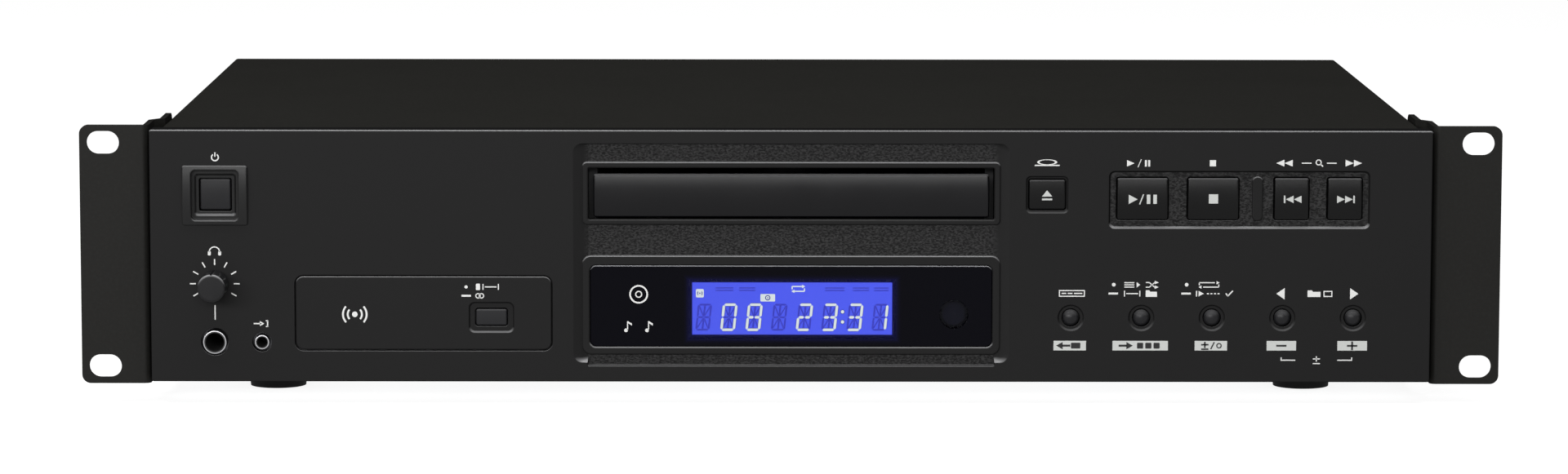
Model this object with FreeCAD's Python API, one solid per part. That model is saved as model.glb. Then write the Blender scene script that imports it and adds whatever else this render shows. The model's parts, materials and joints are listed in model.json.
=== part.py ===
# Rack-mount CD player, two rack units high, as separate pieces. All sizes are in millimetres.
# X runs to the right as seen from the front, Y to the back and Z up. The origin lies on the
# surface that the feet stand on, below the middle of the whole outline.

import FreeCAD
import Part
import math
import os

os.makedirs("parts", exist_ok=True)
Vector = FreeCAD.Vector

# Whole object, from the front to the back
BODY_DEPTH = 273.3        # front face of the ears to the rear edge of the cover
PANEL_PROUD = 4.0         # front panel ahead of the ears
KNOB_PROUD = 13.0         # knob ahead of the front panel
SOCKET_PROUD = 8.2        # rear sockets behind the cover's rear edge
JOIN = 0.5                # how far shapes run into each other before they are joined

# Disc tray and its door
WELL_RADIUS = 60.6        # for a disc of 60 mm radius
WELL_DEPTH = 4.0
SMALL_WELL_RADIUS = 40.6
SMALL_WELL_DROP = 1.0
TRAY_EDGE = 4.9           # tray beside and ahead of the well
TRAY_TAIL = 106.0         # spindle axis to the tray's rear end
TRAY_FLOOR = 2.0
SKIRT_HEIGHT = 2.5
SKIRT_THICK = 3.0
TRAY_SLOT = 38.0
TAIL_POCKET_INSET = 2.0
TAIL_POCKET_WIDTH = 14.0
TAIL_POCKET_START = 58.0  # behind the spindle axis
TAIL_POCKET_END = 8.0
DOOR_HEIGHT = 14.9
DOOR_THICK = 3.0
DOOR_DROP = 1.5           # door face below the panel's face
DOOR_EDGE = 0.75
DOOR_CORNER = 0.9
DOOR_GAP_SIDE = 1.7
DOOR_GAP_TOP = 2.15
DOOR_GAP_BOTTOM = 0.45
TRAY_LIFT = 1.55          # tray's underside above the door's lower edge

# Front panel
PANEL_DEPTH = 9.0
PANEL_WALL = 2.5
PANEL_CORNER = 0.8
PANEL_EDGE = 0.35
PANEL_BOTTOM = 7.6
BELOW_SINK = 5.3          # panel's lower edge to the sunk middle field
BELOW_DISPLAY = 4.0
WINDOW_HEIGHT = 27.6
WINDOW_RIM = 2.7
WINDOW_RIM_TOP = 3.4
BETWEEN_RIMS = 10.6       # display rim to tray rim
TRAY_RIM = 2.0
TRAY_RIM_LOW = 1.8
ABOVE_TRAY = 6.3
ABOVE_SINK = 4.5
TRAY_CLEARANCE = 3.1      # tray to the sides of its opening
SINK_MARGIN = 3.1         # tray rim to the field's side
WINDOW_MARGIN = 5.7       # window to the field's side
SINK_DEPTH = 1.6
SINK_RAMP = 5.0           # width of the field's sloping sides
SINK_STEP = 1.3           # sloping sides end above the field's lower edge
SINK_LIP = 0.45
SINK_CORNER = 3.0
SINK_FLOOR_CORNER = 0.6
SINK_FLOOR_RISE = 1.4
SINK_FLOOR_DROP = 0.2
SINK_HEAD = 10.0          # field above its lower pocket
BACKING_MARGIN = 1.0      # thicker back of the pockets, past their edges
RIM_DROP = 0.3            # rims below the panel's face
RIM_EDGE = 0.45
RIM_CHAMFER = 0.4
TRAY_RIM_CORNER = 1.6
TRAY_OPENING_CORNER = 0.5
DISPLAY_RIM_CORNER = 3.0
WINDOW_CORNER = 2.0
WINDOW_THICK = 2.0
WINDOW_DROP = 0.9         # window face below the panel's face
WINDOW_LEDGE = 2.0
WINDOW_EDGE = 0.35
SEAT_GAP = 0.1

# Wireless panel, an insert at the lower left
INSERT_WIDTH = 86.4
INSERT_HEIGHT = 25.0
INSERT_TO_SINK = 7.4
INSERT_DROP = 2.35        # its middle below the window's
INSERT_CORNER = 2.6
INSERT_GROOVE = 0.45
INSERT_THICK = 2.0
INSERT_LEDGE = 2.2
INSERT_BACKING = 1.8
INSERT_EDGE = 0.4

# Keys
KEY_GAP = 0.4             # round each cap in its hole
KEY_EDGE = 0.5
KEY_CORNER = 0.7
KEY_CROWN = 50.0          # radius of the slightly rounded key faces and door
GUIDE_DEPTH = 3.7         # panel face to the back of the key guides
GUIDE_MARGIN = 2.5
FLANGE_LIP = 1.0
FLANGE_THICK = 1.0
FLANGE_GAP = 0.3
STEM_RADIUS = 1.6
STEM_DIP = 0.2            # stem tips inside the switch mouths
DISH_DEPTH = 0.8
DISH_WALL = 0.5
ROUND_DISH_RADIUS = 4.5
KEYS_TO_SINK = 21.0       # field's side to the middle of the first round key
KEY_PITCH = 23.9
WIDE_KEY = 17.1
NARROW_KEY = 11.5
TRANSPORT_HEIGHT = 14.1
TRANSPORT_DROP = 0.7      # transport keys' middle below the door's
TRANSPORT_PROUD = 0.5
PLAY_GAP = 6.8
DIVIDER_GAP = 4.65
DIVIDER_GAP_RIGHT = 3.95
DIVIDER_WIDTH = 3.6
DIVIDER_EXTRA = 1.0       # divider higher than the keys
DIVIDER_DROP = 0.3
DIVIDER_CORNER = 1.7
DIVIDER_EDGE = 0.4
SEARCH_GAP = 6.5
STRIP_MARGIN = 2.85
STRIP_DEPTH = 1.2
STRIP_WALL = 0.6
STRIP_CORNER = 2.0
STRIP_DROP = 0.3          # strip's middle below the keys'
ROUND_KEY_DROP = 3.8      # round keys' middle below the window's
ROUND_KEY_RADIUS = 2.75
ROUND_KEY_DOME = 1.3
OPEN_KEY_OFFSET = 8.3     # to the left of the first round key
OPEN_KEY_RISE = 0.7       # its middle above the door's
OPEN_KEY_WIDTH = 12.2
OPEN_KEY_HEIGHT = 10.0
OPEN_DISH_MARGIN = 1.1
OPEN_DISH_MARGIN_Z = 1.35
OPEN_DISH_CORNER = 1.6
DEVICE_KEY_INSET = 20.3   # from the insert's right end
DEVICE_KEY_DROP_Z = 1.45
DEVICE_KEY_WIDTH = 10.4
DEVICE_KEY_HEIGHT = 5.5
DEVICE_DISH_MARGIN = 2.5
DEVICE_DISH_CORNER = 2.0
DEVICE_KEY_SUNK = 0.3

# Power button and its bezel
POWER_INSET = 22.0        # from the panel's left side
POWER_RISE = 0.2          # its middle above the door's
BEZEL_WIDTH = 22.0
BEZEL_HEIGHT = 20.3
BEZEL_PROUD = 1.5         # at its middle
BEZEL_CROWN = 70.0        # radius of its rounded face
BEZEL_EDGE = 0.45
BEZEL_CORNER = 0.8
BEZEL_WALL = 1.2
BEZEL_COLLAR_CORNER = 2.0
BEZEL_DEPTH = 8.0
POCKET_MARGIN_X = 2.4     # round the key's hole
POCKET_MARGIN_Z = 2.8
POCKET_DEPTH = 3.0        # below the middle of the bezel's face
POCKET_CORNER = 1.5
POCKET_EDGE = 0.4
FUNNEL_MARGIN = 1.55
FUNNEL_STEP = 0.85        # level ring between the funnel and the key's hole
FUNNEL_CORNER = 1.2
POWER_KEY_WIDTH = 10.3
POWER_KEY_HEIGHT = 10.5
POWER_KEY_SUNK = 2.5      # button face below the panel's face
POWER_TRAVEL = 3.0
POWER_STEM = 2.5
POWER_WELL = 4.5
SWITCH_WALL = 1.2
SWITCH_ROOM = 1.05        # round the button's flange
SWITCH_WINDOW_MARGIN = 2.0
SWITCH_BOX_DEPTH = 24.0
SWITCH_TAB = 6.0
SWITCH_TAB_Z = 3.0
STEM_ROOM = 1.0           # past the stem's tip when the button is in

# Knob and jacks
PHONES_INSET = 21.6       # from the panel's left side
PHONES_DROP = 19.8        # below the knob
KNOB_RISE = 7.6           # above the window's middle
KNOB_SHIFT = 0.1
KNOB_RADIUS = 4.75
KNOB_GAP = 0.5
KNOB_EDGE = 0.8
KNOB_FACE = 3.0           # solid front of the knob
KNOB_MARK_WIDTH = 0.7
KNOB_MARK_DEPTH = 0.35
SHAFT_RADIUS = 3.0
SHAFT_HOLE_GAP = 0.6
PIVOT_GAP = 0.05          # running clearance of shafts, rods and pins
POT_GAP = 0.4             # behind the panel's wall
POT_BUSHING = 1.5
POT_BODY = 12.0
POT_BODY_DEPTH = 6.0
SHAFT_SHORT = 2.0         # shaft end ahead of the board
PHONES_BORE = 3.2
PHONES_RING = 4.1
PHONES_HOLE = 4.7
PHONES_PROUD = 1.5
PHONES_BORE_DEPTH = 30.0
PHONES_BODY = 15.0
JACK_PITCH = 15.9
AUX_TO_INSERT = 11.05
AUX_DROP = 0.1
AUX_BORE = 1.8
AUX_RING = 2.55
AUX_HOLE = 3.3
AUX_PROUD = 0.5
AUX_BORE_DEPTH = 14.0
AUX_BODY = 7.0
JACK_BODY_GAP = 1.2
JACK_END = 2.0

# Rack brackets
EAR_SHOWN = 24.0          # ear beside the panel
EAR_OVER = 1.2            # ear above and below the panel
EAR_CORNER = 3.0
SLOT_INSET = 7.95         # slot's middle from the ear's edge
SLOT_SPACING_Z = 76.2
SLOT_LENGTH = 11.0
SLOT_WIDTH = 7.8
BRACKET_STEEL = 1.8
BRACKET_JOGGLE = 3.3      # step from the front leg in to the leg that lies on the case
FRONT_LEG_DEPTH = 18.6
JOGGLE_DEPTH = 5.0
BRACKET_DEPTH = 47.0
BRACKET_BEND = 2.3
BRACKET_CORNER = 5.0
BRACKET_SCREW_INSET = 12.0
BRACKET_SCREW_PITCH = 25.0

# Base, cover and rear panel
CASE_INSET = 2.6          # cover inside the panel's side
COVER_STEP = 0.3          # cover below the panel's top
COVER_GAP = 1.0           # behind the front panel
COVER_BEND = 1.6
COVER_LIP = 12.0
SHEET = 1.0
SHEET_GAP = 0.3           # between the cover and what it goes over
FOOT_HEIGHT = 7.5
BASE_BELOW_TOP = 2.0      # base's front wall below the cover's top
LOW_FLANGE = 16.0
TALL_FLANGE = 55.0        # length of the full-height side flanges
WALL_POST = 2.0           # between the openings of the front wall
WALL_FRAME = 2.5          # round them
WALL_GAP = 1.5
FOOT_INSET_X = 36.4
FOOT_FRONT = 41.0         # behind the ear face
FOOT_REAR = 30.3          # ahead of the cover's rear edge
FOOT_RADIUS = 10.3
FOOT_TAPER = 0.7
FOOT_RECESS_RADIUS = 4.6
FOOT_RECESS = 4.0
STANDOFF = 5.5
STANDOFF_INSET = 5.0

# Screws
SCREW_RADIUS = 1.5
SCREW_HOLE = 1.7
SCREW_HEAD_RADIUS = 2.8
SCREW_HEAD = 1.7
SCREW_LENGTH = 5.0
FOOT_SCREW_LENGTH = 7.0
CROSS_LENGTH = 3.0
CROSS_WIDTH = 0.7
CROSS_DEPTH = 1.0
COVER_SCREW_RISE = 10.0   # above the base
COVER_SCREW_FRONT = 140.0
COVER_SCREW_REAR = 23.0
LIP_SCREW_INSET = 63.9
REAR_SCREW_INSET = 18.9
REAR_SCREW_RISE = 6.5

# Boards behind the panel
BOARD_DEPTH = 13.0        # panel face to the front of the upright boards
BOARD_THICK = 1.6
BOARD_RISE = 4.4          # board above the panel's lower edge
BOARD_BELOW_TRAY = 9.0
BOARD_BELOW_TOP = 6.3
BOARD_INSET = 12.5
PHONES_BOARD_INSET = 6.0
BOARD_GAP = 1.0
SWITCH_SIZE = 6.0
SWITCH_HEIGHT = 3.5
SWITCH_WELL = 1.6
SWITCH_CLEARANCE = 0.35
BOSS_RADIUS = 3.0
BOSS_INSET = 4.0          # from the board's sides
BOSS_MARGIN = 3.0         # from its upper and lower edge
MIDDLE_BOSS_GAP = 10.3    # from the sunk field

# Display
LCD_SHIFT = 0.4
LCD_DROP = 1.5            # its middle below the window's
LCD_WIDTH = 69.6
LCD_HEIGHT = 19.8
LCD_THICK = 1.1
LCD_GAP = 0.4
LCD_FRAME = 2.4
RECEIVER_X = 55.1
RECEIVER_DROP = 2.8
RECEIVER_SIZE = 7.0
RECEIVER_SETBACK = 3.5    # behind the front of the display's glass
RECEIVER_LENS = 2.5

# Loader
SLIDE_GAP = 0.4
LOADER_WALL = 3.0
LOADER_GAP = 1.4          # behind the control board
LOADER_TAIL = 18.0        # behind the tray
LOADER_DROP = 21.0        # its floor below the tray
LOADER_RISE = 6.5         # its side walls above the tray
LOADER_FLOOR_THICK = 2.5
LEG_SIZE = 9.0
LEG_SETBACK = 8.0
RAIL_WIDTH = 4.2
RAIL_THICK = 2.5
LIP_THICK = 2.0
LIP_LENGTH = 36.0
BRIDGE_DEPTH = 28.0
BRIDGE_STEEL = 1.2

# Gears, pulleys and belt
RACK_MODULE = 1.0
DRIVE_TEETH = 20
RACK_INSET = 8.5          # tray's side to the rack's pitch line
RACK_BAR = 2.5
RACK_DROP = 1.0           # rack below the tray's skirt
RACK_START = 6.0          # behind the tray's front
RACK_END = 1.0
GEAR_SETBACK = 18.0       # loader's front to the gear's axis
GEAR_THICK = 3.5
GEAR_HUB = 5.0
BACKLASH = 0.35
PULLEY_DROP = 13.1        # gear's top to the pulley's underside
PULLEY_GROOVE = 12.2
PULLEY_HEIGHT = 4.0
PULLEY_REST = 0.5
FLANGE_RISE = 1.6
MOTOR_GROOVE = 3.5
BELT_THICK = 1.2
BELT_HEIGHT = 2.0
BELT_GAP = 0.3
BELT_SPAN = 37.0
MOTOR_RADIUS = 10.0
MOTOR_HEIGHT = 19.0
MOTOR_BOSS = 3.0
MOTOR_BOSS_GAP = 1.0
POST_RADIUS = 4.0
AXLE_RADIUS = 1.5
MOTOR_SHAFT = 1.0

# Traverse deck
DECK_DROP = 5.0           # deck's underside below the tray
DECK_THICK = 2.0
DECK_WIDTH = 72.0
DECK_AHEAD = 20.0         # ahead of the spindle axis
DECK_TAIL = 23.0          # behind the rods
DECK_ROOM = 3.0           # free space ahead of the deck
DECK_SIDE_GAP = 2.0
PIVOT_INSET = 6.0
PIVOT_RADIUS = 2.0
LUG_THICK = 5.0
LUG_LENGTH = 12.0
LUG_RISE = 2.0
ROD_X = 17.5
ROD_DROP = 2.5
ROD_RADIUS = 1.5
ROD_BLOCK = 4.0
ROD_BLOCK_HALF = 3.0
ROD_BLOCK_DROP = 2.5
ROD_SEAT = 3.5            # rod end in its block
ROD_ROOM = 3.6            # deck's window past the rods
PICKUP_HOME = 25.5        # lens to spindle axis at rest
PICKUP_TRAVEL = 32.5
PICKUP_END_GAP = 1.0
LENS_SETBACK = 4.5        # pickup body ahead of the lens
PICKUP_HALF = 13.5
PICKUP_ARM = 3.2          # arm beyond the rod's axis
PICKUP_LENGTH = 20.5
LENS_RADIUS = 3.0
LENS_HOLDER = 1.5
LENS_RISE = 1.2
LENS_DROP = 4.0           # top of the pickup body below the disc's seat
SLED_MODULE = 0.6
SLED_TEETH = 16
SLED_RACK_X = 23.5
SLED_BACKLASH = 0.22
SLED_RACK_BAR = 1.6
SLED_RACK_HEIGHT = 3.0
SLED_REACH = 5.5
SLED_OVERLAP = 4.0
SLED_MOTOR_RADIUS = 7.0
SLED_MOTOR_HEIGHT = 9.0
SHELF_DROP = 3.5
SHELF_THICK = 1.0
SHELF_WALL = 1.5
SHELF_HALF = 8.0
SLED_PLAY = 0.6
SHAFT_ROOM = 0.5
MOTOR_END = 1.0
DISC_RISE = 1.5           # disc on the turntable above the well's floor
TURNTABLE_RADIUS = 15.0
TURNTABLE_THICK = 2.5
HUB_RADIUS = 7.3
HUB_HEIGHT = 2.4
HUB_STRAIGHT = 0.9
HUB_TAPER = 2.6
HUB_NECK = 3.5
SPINDLE_MOTOR_RADIUS = 12.0
SPINDLE_MOTOR_HEIGHT = 5.5
PUCK_RADIUS = 14.0
PUCK_NECK = 10.0
PUCK_NECK_GAP = 1.0
PUCK_BELOW_BRIDGE = 1.5
PUCK_FLANGE = 19.0
PUCK_LIFT = 1.5           # above the turntable, room for the disc
PUCK_PLAY = 0.4           # below the puck's flange
PUCK_FLANGE_THICK = 2.2
PUCK_CAVITY_GAP = 0.8

# Power supply and main board
LOW_BOARD_FRONT = 120.0   # behind the ear face
BOARD_TO_LOADER = 15.1
BOARD_TO_SIDE = 7.9
MAIN_BACK_GAP = 8.0
SUPPLY_WIDTH = 96.0
SOCKET_ROOM = 14.0        # main board kept free under the rear sockets
SUPPLY_BACK_GAP = 32.0
CHIP_HEIGHT = 2.0
CHIP_LARGE = 20.0
CHIP_MIDDLE = 13.0
CHIP_SMALL = 9.0
CHIP_FRONT = 50.0
CHIP_SPREAD = 32.0
CHIP_ROW = 32.0
HEAT_SINK_LENGTH = 40.0
HEAT_SINK_HEIGHT = 25.0
HEAT_SINK_BASE = 4.0
HEAT_SINK_INSET = 22.0
HEAT_SINK_FRONT = 50.0
FIN_PITCH = 5.0
FIN_THICK = 1.5
FIN_COUNT = 4
CAN_RADIUS = 9.0
CAN_HEIGHT = 30.0
SMALL_CAN_RADIUS = 6.5
SMALL_CAN_HEIGHT = 20.0
CAN_INSET = 18.0
CAN_PITCH = 22.0
CAN_ROW = 25.0
TRANSFORMER_INSET = 63.9
TRANSFORMER_FRONT = 82.0  # its middle behind the ear face
CORE_WIDTH = 56.0
CORE_DEPTH = 26.0
CORE_HEIGHT = 47.0
CORE_TAB = 10.0
CORE_TAB_DEPTH = 16.0
CORE_TAB_THICK = 1.5
CORE_FRAME = 9.0          # outer limbs
CORE_LIMB = 18.0          # middle limb
CORE_YOKE = 10.0
WINDING_GAP = 0.3
WINDING_BULGE = 9.0       # winding ahead of and behind the core
WINDING_CORNER = 4.0
RIBBON_WIDTH = 22.0
RIBBON_THICK = 0.6
RIBBON_BEND = 6.0
RIBBON_INSET = 36.0
RIBBON_RISE = 18.0        # above the board's lower edge
RIBBON_CLEAR = 3.5        # above the base
RIBBON_OUT = 24.0
RIBBON_FALL = 26.0
RIBBON_CLIMB = 14.0
RIBBON_LEVEL = 20.0
PLUG_SIZE = 6.0
PLUG_DEPTH = 5.0
PLUG_MARGIN = 2.0
PLUG_SETBACK = 3.0

# Rear sockets
INLET_INSET = 48.9
INLET_RISE = 28.5         # above the base's underside
INLET_FLANGE_WIDTH = 50.0
INLET_FLANGE_HEIGHT = 24.0
INLET_FLANGE_CORNER = 4.0
INLET_FLANGE = 2.5
INLET_SOCKET_WIDTH = 24.4
INLET_SOCKET_HEIGHT = 16.6
INLET_SOCKET_DEPTH = 17.0
INLET_WALL = 1.6
INLET_SCREW_SPACING = 40.0
PIN_SPACING = 7.0
PIN_WIDTH = 2.0
PIN_HEIGHT = 4.0
PIN_LENGTH = 14.0
PIN_DROP = 1.5
EARTH_RISE = 2.0
SOCKET_RISE = 18.5        # sockets' axes above the base's underside
ANALOG_INSET = 41.9
ANALOG_PITCH = 16.0
COAX_PITCH = 40.0
OPTICAL_PITCH = 18.0
BARREL_RADIUS = 4.15
BARREL_WALL = 0.75
BARREL_HOLE = 4.6
COLLAR_RADIUS = 4.4
COLLAR_PROUD = 0.5
CORE_RADIUS = 2.4
CORE_BORE = 1.6
CORE_SHORT = 0.8
CORE_BORE_DEPTH = 12.2
OPTICAL_SIZE = 12.0
OPTICAL_SOCKET = 9.4
OPTICAL_DEPTH = 7.0
OPTICAL_PROUD = 1.5
CUT_GAP = 0.2             # round what passes through the rear panel
SOCKET_BLOCK = 14.0
SOCKET_BLOCK_DEPTH = 12.0
SOCKET_BLOCK_TOP = 8.0    # above the sockets' axes
SOCKET_NOTCH = 9.0        # cut in the base's rear flange, past the last socket's axis

# Widths that follow, from the middle outwards
TRAY_WIDTH = 2 * (WELL_RADIUS + TRAY_EDGE)
TRAY_HALF = TRAY_WIDTH / 2
TRAY_OPENING_WIDTH = TRAY_WIDTH + 2 * TRAY_CLEARANCE
TRAY_RIM_WIDTH = TRAY_OPENING_WIDTH + 2 * TRAY_RIM
DOOR_WIDTH = TRAY_OPENING_WIDTH - 2 * DOOR_GAP_SIDE
SINK_WIDTH = TRAY_RIM_WIDTH + 2 * SINK_MARGIN
SINK_HALF = SINK_WIDTH / 2
WINDOW_WIDTH = SINK_WIDTH - 2 * WINDOW_MARGIN
DISPLAY_RIM_WIDTH = WINDOW_WIDTH + 2 * WINDOW_RIM
INSERT_X = -SINK_HALF - INSERT_TO_SINK - INSERT_WIDTH / 2
AUX_X = INSERT_X - INSERT_WIDTH / 2 - INSERT_GROOVE - AUX_TO_INSERT
PHONES_X = AUX_X - JACK_PITCH
PANEL_HALF = PHONES_INSET - PHONES_X
PANEL_WIDTH = 2 * PANEL_HALF
KNOB_X = PHONES_X + KNOB_SHIFT
POWER_X = POWER_INSET - PANEL_HALF
POWER_HOLE_WIDTH = POWER_KEY_WIDTH + 2 * KEY_GAP
POWER_HOLE_HEIGHT = POWER_KEY_HEIGHT + 2 * KEY_GAP
POCKET_WIDTH = POWER_HOLE_WIDTH + 2 * POCKET_MARGIN_X
POCKET_HEIGHT = POWER_HOLE_HEIGHT + 2 * POCKET_MARGIN_Z
COLLAR_WIDTH = POCKET_WIDTH + 2 * BEZEL_WALL
COLLAR_HEIGHT = POCKET_HEIGHT + 2 * BEZEL_WALL
POWER_SWITCH_SIZE = POWER_KEY_HEIGHT + 2 * (FLANGE_LIP + SWITCH_ROOM + SWITCH_WALL)
DEVICE_KEY_X = INSERT_X + INSERT_WIDTH / 2 - DEVICE_KEY_INSET
FIRST_KEY_X = SINK_HALF + KEYS_TO_SINK
OPEN_KEY_X = FIRST_KEY_X - OPEN_KEY_OFFSET
PLAY_X = FIRST_KEY_X + KEY_PITCH
STOP_X = PLAY_X + WIDE_KEY + PLAY_GAP
DIVIDER_X = STOP_X + WIDE_KEY / 2 + DIVIDER_GAP + DIVIDER_WIDTH / 2
SEARCH_BACK_X = DIVIDER_X + DIVIDER_WIDTH / 2 + DIVIDER_GAP_RIGHT + NARROW_KEY / 2
SEARCH_FORWARD_X = SEARCH_BACK_X + NARROW_KEY + SEARCH_GAP
STRIP_LEFT = PLAY_X - WIDE_KEY / 2 - STRIP_MARGIN
STRIP_RIGHT = SEARCH_FORWARD_X + NARROW_KEY / 2 + STRIP_MARGIN
STRIP_X = (STRIP_LEFT + STRIP_RIGHT) / 2
STRIP_WIDTH = STRIP_RIGHT - STRIP_LEFT
RACK_WIDTH = PANEL_WIDTH + 2 * EAR_SHOWN
SLOT_X = RACK_WIDTH / 2 - SLOT_INSET
CASE_HALF = PANEL_HALF - CASE_INSET
BASE_HALF = CASE_HALF - SHEET - SHEET_GAP
FOOT_X = CASE_HALF - FOOT_INSET_X
LOADER_INNER = TRAY_HALF + SLIDE_GAP
LOADER_OUTER = LOADER_INNER + LOADER_WALL
RACK_PITCH_X = RACK_INSET - TRAY_HALF
DRIVE_RADIUS = RACK_MODULE * DRIVE_TEETH / 2
GEAR_X = RACK_PITCH_X + DRIVE_RADIUS
MOTOR_X = GEAR_X + BELT_SPAN
SLED_RADIUS = SLED_MODULE * SLED_TEETH / 2
SLED_X = SLED_RACK_X + SLED_RADIUS
LUG_X = DECK_WIDTH / 2 + DECK_SIDE_GAP
BOARD_LEFT = INSERT_X - INSERT_WIDTH / 2 - GUIDE_MARGIN
BOARD_RIGHT = PANEL_HALF - BOARD_INSET
KEY_BOARD_LEFT = OPEN_KEY_X - OPEN_KEY_WIDTH / 2 - STRIP_MARGIN
PHONES_BOARD_LEFT = PHONES_BOARD_INSET - PANEL_HALF
MAIN_BOARD_LEFT = LOADER_OUTER + BOARD_TO_LOADER
MAIN_BOARD_RIGHT = CASE_HALF - BOARD_TO_SIDE
SUPPLY_LEFT = BOARD_TO_SIDE - CASE_HALF
SUPPLY_RIGHT = SUPPLY_LEFT + SUPPLY_WIDTH
TRANSFORMER_X = TRANSFORMER_INSET - CASE_HALF
RIBBON_X = MAIN_BOARD_LEFT + RIBBON_INSET
PLUG_HALF = RIBBON_WIDTH / 2 + PLUG_MARGIN
INLET_X = INLET_INSET - CASE_HALF
ANALOG_X = CASE_HALF - ANALOG_INSET
COAX_X = ANALOG_X - COAX_PITCH
OPTICAL_X = COAX_X - OPTICAL_PITCH

# Heights that follow, from the lower edge upwards
SINK_BOTTOM = PANEL_BOTTOM + BELOW_SINK
DISPLAY_RIM_BOTTOM = SINK_BOTTOM + BELOW_DISPLAY
DISPLAY_RIM_HEIGHT = WINDOW_RIM + WINDOW_HEIGHT + WINDOW_RIM_TOP
DISPLAY_RIM_Z = DISPLAY_RIM_BOTTOM + DISPLAY_RIM_HEIGHT / 2
WINDOW_Z = DISPLAY_RIM_BOTTOM + WINDOW_RIM + WINDOW_HEIGHT / 2
TRAY_RIM_BOTTOM = DISPLAY_RIM_BOTTOM + DISPLAY_RIM_HEIGHT + BETWEEN_RIMS
TRAY_OPENING_HEIGHT = DOOR_GAP_BOTTOM + DOOR_HEIGHT + DOOR_GAP_TOP
TRAY_RIM_HEIGHT = TRAY_RIM_LOW + TRAY_OPENING_HEIGHT + TRAY_RIM
TRAY_RIM_Z = TRAY_RIM_BOTTOM + TRAY_RIM_HEIGHT / 2
TRAY_OPENING_Z = TRAY_RIM_BOTTOM + TRAY_RIM_LOW + TRAY_OPENING_HEIGHT / 2
DOOR_BOTTOM = TRAY_RIM_BOTTOM + TRAY_RIM_LOW + DOOR_GAP_BOTTOM
DOOR_Z = DOOR_BOTTOM + DOOR_HEIGHT / 2
SINK_TOP = TRAY_RIM_BOTTOM + TRAY_RIM_HEIGHT + ABOVE_TRAY
PANEL_TOP = SINK_TOP + ABOVE_SINK
PANEL_HEIGHT = PANEL_TOP - PANEL_BOTTOM
PANEL_Z = (PANEL_TOP + PANEL_BOTTOM) / 2
SINK_SIDE_BOTTOM = SINK_BOTTOM + SINK_STEP
EAR_BOTTOM = PANEL_BOTTOM - EAR_OVER
EAR_HEIGHT = PANEL_HEIGHT + 2 * EAR_OVER
CASE_TOP = PANEL_TOP - COVER_STEP
BASE_TOP = CASE_TOP - BASE_BELOW_TOP
TRAY_BOTTOM = DOOR_BOTTOM + TRAY_LIFT
TRAY_PLATE = TRAY_BOTTOM + SKIRT_HEIGHT
WELL_FLOOR = TRAY_PLATE + TRAY_FLOOR
TRAY_TOP = WELL_FLOOR + WELL_DEPTH
TRANSPORT_Z = DOOR_Z - TRANSPORT_DROP
STRIP_Z = TRANSPORT_Z - STRIP_DROP
STRIP_HEIGHT = TRANSPORT_HEIGHT + 2 * STRIP_MARGIN - STRIP_DROP / 2
POWER_Z = DOOR_Z + POWER_RISE
OPEN_KEY_Z = DOOR_Z + OPEN_KEY_RISE
ROUND_KEY_Z = WINDOW_Z - ROUND_KEY_DROP
INSERT_Z = WINDOW_Z - INSERT_DROP
DEVICE_KEY_Z = INSERT_Z - DEVICE_KEY_DROP_Z
KNOB_Z = WINDOW_Z + KNOB_RISE
PHONES_Z = KNOB_Z - PHONES_DROP
AUX_Z = PHONES_Z - AUX_DROP
LCD_Z = WINDOW_Z - LCD_DROP
RECEIVER_Z = WINDOW_Z - RECEIVER_DROP
BOARD_BOTTOM = PANEL_BOTTOM + BOARD_RISE
BOARD_TOP = TRAY_BOTTOM - BOARD_BELOW_TRAY
LOW_BOSS_Z = BOARD_BOTTOM + BOSS_MARGIN
KEY_BOARD_TOP = PANEL_TOP - BOARD_BELOW_TOP
HIGH_BOSS_Z = KEY_BOARD_TOP - BOSS_MARGIN
FLOOR_TOP = FOOT_HEIGHT + SHEET
STANDOFF_TOP = FLOOR_TOP + STANDOFF
LOW_BOARD_TOP = STANDOFF_TOP + BOARD_THICK
LOADER_FLOOR = TRAY_BOTTOM - LOADER_DROP
LOADER_FLOOR_TOP = LOADER_FLOOR + LOADER_FLOOR_THICK
LOADER_TOP = TRAY_TOP + LOADER_RISE
GEAR_TOP = TRAY_PLATE - SLIDE_GAP
PULLEY_BOTTOM = GEAR_TOP - PULLEY_DROP
DECK_BOTTOM = TRAY_BOTTOM - DECK_DROP
DECK_TOP = DECK_BOTTOM + DECK_THICK
ROD_Z = DECK_BOTTOM - ROD_DROP
SHELF_TOP = ROD_Z - SHELF_DROP
DISC_SEAT_Z = WELL_FLOOR + DISC_RISE
PICKUP_TOP = DISC_SEAT_Z - LENS_DROP
PUCK_BOTTOM = DISC_SEAT_Z + PUCK_LIFT
BRIDGE_TOP = LOADER_TOP + BRIDGE_STEEL
INLET_Z = FOOT_HEIGHT + INLET_RISE
SOCKET_Z = FOOT_HEIGHT + SOCKET_RISE

# Planes that follow, from the front to the back
EAR_Y = -(KNOB_PROUD + PANEL_PROUD + BODY_DEPTH + SOCKET_PROUD) / 2 + KNOB_PROUD + PANEL_PROUD
PANEL_Y = EAR_Y - PANEL_PROUD
PANEL_BACK = PANEL_Y + PANEL_DEPTH
REAR_Y = EAR_Y + BODY_DEPTH
REAR_FACE = REAR_Y - SHEET
REAR_INNER = REAR_FACE - SHEET
WALL_BACK = PANEL_Y + PANEL_WALL
SINK_FLOOR = PANEL_Y + SINK_DEPTH
SINK_BACK = SINK_FLOOR + PANEL_WALL
RIM_Y = PANEL_Y + RIM_DROP
WINDOW_Y = PANEL_Y + WINDOW_DROP
GLASS_Y = WINDOW_Y + WINDOW_THICK + LCD_GAP
GUIDE_BACK = PANEL_Y + GUIDE_DEPTH
FLANGE_Y = GUIDE_BACK + FLANGE_GAP
BOARD_Y = PANEL_Y + BOARD_DEPTH
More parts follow.
